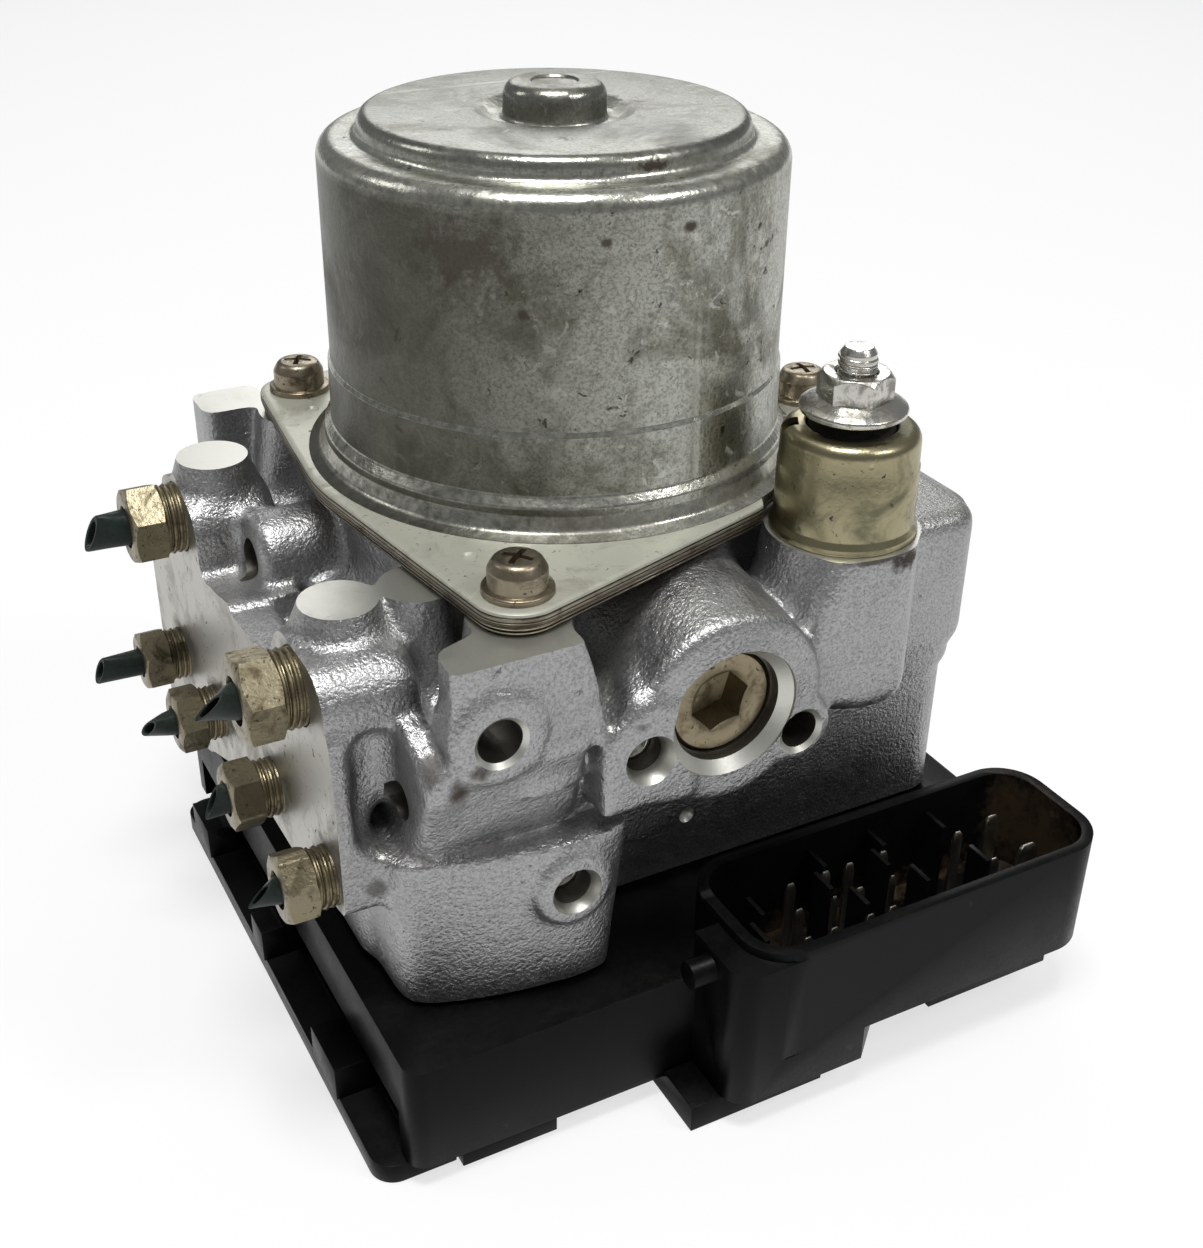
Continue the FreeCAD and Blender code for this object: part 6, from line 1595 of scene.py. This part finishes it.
# Finish of the CAD nodes that stay as they are: node, material
KEPT_NODES = {
    "field_magnets": "magnet", "rotor_shaft": "steel", "eccentric_ring": "steel", "armature_core": "core",
    "armature_windings": "winding", "commutator": "copper", "top_bearing": "bronze",
    "lower_bearing": "steel", "brush_holder": "brown", "carbon_brushes": "carbon",
    "brush_springs": "spring", "front_pump_piston": "steel",
    "rear_pump_piston": "steel", "pump_sleeves": "alu", "pump_springs": "spring",
    "front_accumulator_piston": "alu", "rear_accumulator_piston": "alu", "accumulator_caps": "screw",
    "solenoid_valves": "steel", "valve_coils": "coil", "housing_seal": "seal", "circuit_board": "green",
    "housing_screws": "screw",
}


def make_springs(mats):
    """Accumulator springs, copied from their CAD nodes."""
    for side in ("front", "rear"):
        node = side + "_accumulator_spring"
        spring = put(side + "_coil_spring", nodes[node].data.copy())
        spring.data.name = spring.name
        shade(spring, 32)
        paint(spring, mats["spring"])
        piece(spring, [node])
        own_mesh(spring)


def paint_nodes(mats, names):
    """Give CAD nodes their finish."""
    for name in names:
        data = nodes[name].data
        if not data.materials:
            data.materials.append(mats[KEPT_NODES[name]])
        for index in range(len(data.materials)):
            data.materials[index] = mats[KEPT_NODES[name]]


# Stage
def lamp(name, place, aim, width, height, power):
    """A soft rectangular lamp that looks at a point."""
    data = bpy.data.lights.new(name, "AREA")
    data.shape = "RECTANGLE"
    data.size, data.size_y = width, height
    data.energy = power
    made = bpy.data.objects.new(name, data)
    made.location = place
    made.visible_camera = False
    made.rotation_euler = (Vector(aim) - Vector(place)).to_track_quat("-Z", "Y").to_euler()
    bpy.context.scene.collection.objects.link(made)


# Lamps: name, place, the point each looks at, width and height in metres, power in watts
LAMPS = [
    ("overhead lamp", (-0.10, -0.14, 1.05), (0.0, 0.0, 0.08), 0.36, 0.3, 8.0),
    ("back lamp", (0.52, 0.95, 0.66), (0.0, 0.0, 0.08), 0.8, 0.45, 3.4),
    ("left lamp", (-0.75, 0.5, 0.75), (0.0, 0.0, 0.07), 0.25, 0.35, 0.8),
    ("front lamp", (0.5, -0.62, 0.95), (0.0, 0.0, 0.06), 0.25, 0.25, 3.2),
]


def make_stage():
    """Pale floor, soft lamps and the camera at the photograph's angle."""
    half, depth = 6.0 / MM, -0.05
    floor = put("floor", mesh_from("floor", [(-half, -half, depth), (half, -half, depth),
                                             (half, half, depth), (-half, half, depth)], [[0, 1, 2, 3]]))
    made, w, shader, _ = new_material("pale floor", Roughness=0.9)
    shader.inputs["Base Color"].default_value = (0.9, 0.9, 0.9, 1)
    glow = w.node("ShaderNodeEmission", Strength=1.0, Color=(1, 1, 1, 1))
    rays = w.node("ShaderNodeLightPath").outputs
    seen = w.maths("MAXIMUM", rays["Is Camera Ray"], w.maths("MAXIMUM", rays["Is Glossy Ray"],
                                                            rays["Is Transmission Ray"]))
    mix = w.node("ShaderNodeMixShader")
    w.feed(mix.inputs[0], w.maths("MULTIPLY", seen, 0.7))
    w.feed(mix.inputs[1], shader.outputs[0])
    w.feed(mix.inputs[2], glow.outputs[0])
    w.feed(made.node_tree.nodes["Material Output"].inputs["Surface"], mix.outputs[0])
    floor.data.materials.append(made)
    world = bpy.data.worlds.new("studio")
    bpy.context.scene.world = world
    world.use_nodes = True
    w = Wiring(world.node_tree)
    rays = w.node("ShaderNodeLightPath").outputs
    w.feed(world.node_tree.nodes["Background"].inputs["Color"],
           w.blend(rays["Is Camera Ray"], (0.40, 0.405, 0.41, 1), (1.55, 1.55, 1.56, 1)))
    world.node_tree.nodes["Background"].inputs["Strength"].default_value = 0.56
    for settings in LAMPS:
        lamp(*settings)
    turn, rise, roll = (math.radians(a) for a in CAMERA_ANGLES)
    back = Vector((math.sin(turn) * math.cos(rise), -math.cos(turn) * math.cos(rise), math.sin(rise)))
    right = Vector((math.cos(turn), math.sin(turn), 0))
    up = back.cross(right)
    side = right * math.cos(roll) + up * math.sin(roll)
    upright = up * math.cos(roll) - right * math.sin(roll)
    camera = bpy.data.objects.new("camera", bpy.data.cameras.new("camera"))
    bpy.context.scene.collection.objects.link(camera)
    pose = Matrix((side, upright, back)).transposed().to_4x4()
    pose.translation = CAMERA_PLACE
    camera.matrix_world = pose
    camera.data.sensor_width = SENSOR_WIDTH
    camera.data.lens = FOCAL_LENGTH * SENSOR_WIDTH / PHOTO_HEIGHT
    camera.data.clip_start = 0.01
    bpy.context.scene.camera = camera
    bpy.context.scene.view_settings.view_transform = "Standard"


# Sizes and colours a user may change
class BrakeUnitSizes(bpy.types.PropertyGroup):
    cast_grid: FloatProperty(name="Casting Grid", description="Cell of the grid the casting is meshed on",
                             default=0.00075, min=0.0004, max=0.003, unit="LENGTH", precision=5)
    can_radius: FloatProperty(name="Can Radius", description="Outer radius of the motor can", default=0.036,
                              min=0.03, max=0.037, unit="LENGTH")
    can_shoulder: FloatProperty(name="Can Shoulder", description="Rounding of the can's shoulder",
                                default=0.005, min=0.001, max=0.008, unit="LENGTH")
    large_nut_flat: FloatProperty(name="Large Nut", default=0.0121, min=0.011, max=0.014, unit="LENGTH",
                                  description="Width across flats of the two large flare nuts")
    small_nut_flat: FloatProperty(name="Small Nut", default=0.0099, min=0.009, max=0.012, unit="LENGTH",
                                  description="Width across flats of the four small flare nuts")
    plastic_edge: FloatProperty(name="Plastic Edge", description="Rounding of the controller's edges",
                                default=0.0004, min=0.0001, max=0.001, unit="LENGTH")


class BrakeUnitColours(bpy.types.PropertyGroup):
    cast_light: FloatVectorProperty(name="Casting Light", description="Lighter tone of the cast alloy",
                                    subtype="COLOR", size=3, default=(0.40, 0.40, 0.402), min=0, max=1)
    cast_dark: FloatVectorProperty(name="Casting Dark", description="Darker tone of the cast alloy",
                                   subtype="COLOR", size=3, default=(0.31, 0.31, 0.312), min=0, max=1)
    nut_light: FloatVectorProperty(name="Nut Light", description="Lighter tone of the zinc on the flare nuts",
                                   subtype="COLOR", size=3, default=(0.235, 0.205, 0.135), min=0, max=1)
    nut_dark: FloatVectorProperty(name="Nut Dark", description="Darker tone of the zinc on the flare nuts",
                                  subtype="COLOR", size=3, default=(0.08, 0.062, 0.036), min=0, max=1)
    plastic: FloatVectorProperty(name="Plastic", description="Colour of the controller housing",
                                 subtype="COLOR", size=3, default=(0.0022, 0.0025, 0.0025), min=0, max=1)


materials = {}


class StageOperator(bpy.types.Operator):
    """Make the floor, the lamps, the camera, the materials and the node trees"""
    bl_idname = "brake_unit.stage"
    bl_label = "Make Stage"

    def execute(self, context):
        build_groups()
        build_trees()
        materials.update(build_materials(context.scene.brake_unit_colours))
        make_stage()
        return {"FINISHED"}


class BlockOperator(bpy.types.Operator):
    """Make the cast valve block with its machined faces and bores"""
    bl_idname = "brake_unit.block"
    bl_label = "Make Cast Block"

    def execute(self, context):
        step = context.scene.brake_unit_sizes.cast_grid / MM
        block = make_block(step, [materials["cast"], materials["machined"], materials["port_face"],
                                  materials["bore"]])
        shade(block, 40)
        piece(block, ["hydraulic_block"])
        return {"FINISHED"}


class CanOperator(bpy.types.Operator):
    """Make the motor can with its flange and base plate"""
    bl_idname = "brake_unit.can"
    bl_label = "Make Motor Can"

    def execute(self, context):
        make_can(materials, context.scene.brake_unit_sizes)
        return {"FINISHED"}


class ScrewOperator(bpy.types.Operator):
    """Make the screws that hold the motor"""
    bl_idname = "brake_unit.screws"
    bl_label = "Make Motor Screws"

    def execute(self, context):
        make_motor_screws(materials)
        return {"FINISHED"}


class PipeOperator(bpy.types.Operator):
    """Make the flare nuts and the cut pipe ends"""
    bl_idname = "brake_unit.pipes"
    bl_label = "Make Pipe Connections"

    def execute(self, context):
        sizes = context.scene.brake_unit_sizes
        make_nuts(materials, "large_line_nuts", LARGE_PORTS, sizes.large_nut_flat / MM, length=5.6,
                  collar=5.9, end=-66.8, bore=3.1, turns=(44, 38), replaced="large_flare_nuts")
        make_nuts(materials, "small_line_nuts", SMALL_PORTS, sizes.small_nut_flat / MM, length=4.8,
                  collar=4.7, end=-65.9, bore=2.4, turns=(28, 12, 50, 30), replaced="small_flare_nuts")
        make_stubs(materials, "large_pipe_ends", "large_pipe_stubs", LARGE_PORTS, 3.1,
                   [(-70.4, 0.5, 0.8, 2.2), (-72.6, 0.35, 0.6, 1.9)])
        make_stubs(materials, "small_pipe_ends", "small_pipe_stubs", SMALL_PORTS, 2.4,
                   [(-68.6, 0.6, 0.8, 2.0), (-68.2, 0.5, 0.7, 1.6), (-70.2, 0.4, 0.6, 2.3),
                    (-73.2, 0.35, 0.5, 1.8)])
        return {"FINISHED"}


class PlugOperator(bpy.types.Operator):
    """Make the pump plugs and the plugs of the sealed channels"""
    bl_idname = "brake_unit.plugs"
    bl_label = "Make Plugs"

    def execute(self, context):
        make_plugs(materials)
        return {"FINISHED"}


class MountOperator(bpy.types.Operator):
    """Make the rubber mount with its stud and nut"""
    bl_idname = "brake_unit.mount"
    bl_label = "Make Rubber Mount"

    def execute(self, context):
        make_mount(materials)
        return {"FINISHED"}


class ControllerOperator(bpy.types.Operator):
    """Make the controller's housing and lid"""
    bl_idname = "brake_unit.controller"
    bl_label = "Make Controller"

    def execute(self, context):
        width = context.scene.brake_unit_sizes.plastic_edge / MM
        softened_copy("housing_shell", "controller_housing", width, materials["black"],
                      change=finish_corner)
        softened_copy("housing_lid", "controller_lid", width, materials["black"])
        return {"FINISHED"}


class ContactOperator(bpy.types.Operator):
    """Make the pins and blades of the connector"""
    bl_idname = "brake_unit.contacts"
    bl_label = "Make Contacts"

    def execute(self, context):
        make_contacts(materials)
        return {"FINISHED"}


class InnerOperator(bpy.types.Operator):
    """Finish the rotor, the pumps, the valves and the board inside"""
    bl_idname = "brake_unit.inner"
    bl_label = "Finish Inner Parts"

    def execute(self, context):
        paint_nodes(materials, KEPT_NODES)
        make_springs(materials)
        return {"FINISHED"}


OPERATORS = [StageOperator, BlockOperator, CanOperator, ScrewOperator, PipeOperator, PlugOperator,
             MountOperator, ControllerOperator, ContactOperator, InnerOperator]


class BrakeUnitPanel(bpy.types.Panel):
    """Sizes, colours and steps of the brake control unit"""
    bl_idname = "VIEW3D_PT_brake_unit"
    bl_label = "Brake Control Unit"
    bl_space_type = "VIEW_3D"
    bl_region_type = "UI"
    bl_category = "Brake Unit"

    def draw(self, context):
        for group in (context.scene.brake_unit_sizes, context.scene.brake_unit_colours):
            for name in group.__annotations__:
                self.layout.prop(group, name)
        for operator in OPERATORS:
            self.layout.operator(operator.bl_idname)


def register():
    for kind in [BrakeUnitSizes, BrakeUnitColours] + OPERATORS + [BrakeUnitPanel]:
        bpy.utils.register_class(kind)
    bpy.types.Scene.brake_unit_sizes = PointerProperty(type=BrakeUnitSizes)
    bpy.types.Scene.brake_unit_colours = PointerProperty(type=BrakeUnitColours)


def unregister():
    del bpy.types.Scene.brake_unit_colours
    del bpy.types.Scene.brake_unit_sizes
    for kind in reversed([BrakeUnitSizes, BrakeUnitColours] + OPERATORS + [BrakeUnitPanel]):
        bpy.utils.unregister_class(kind)


def main():
    """Make everything in order."""
    register()
    for operator in OPERATORS:
        group, name = operator.bl_idname.split(".")
        getattr(getattr(bpy.ops, group), name)()
    bpy.context.view_layer.update()


if __name__ == "__main__":
    main()
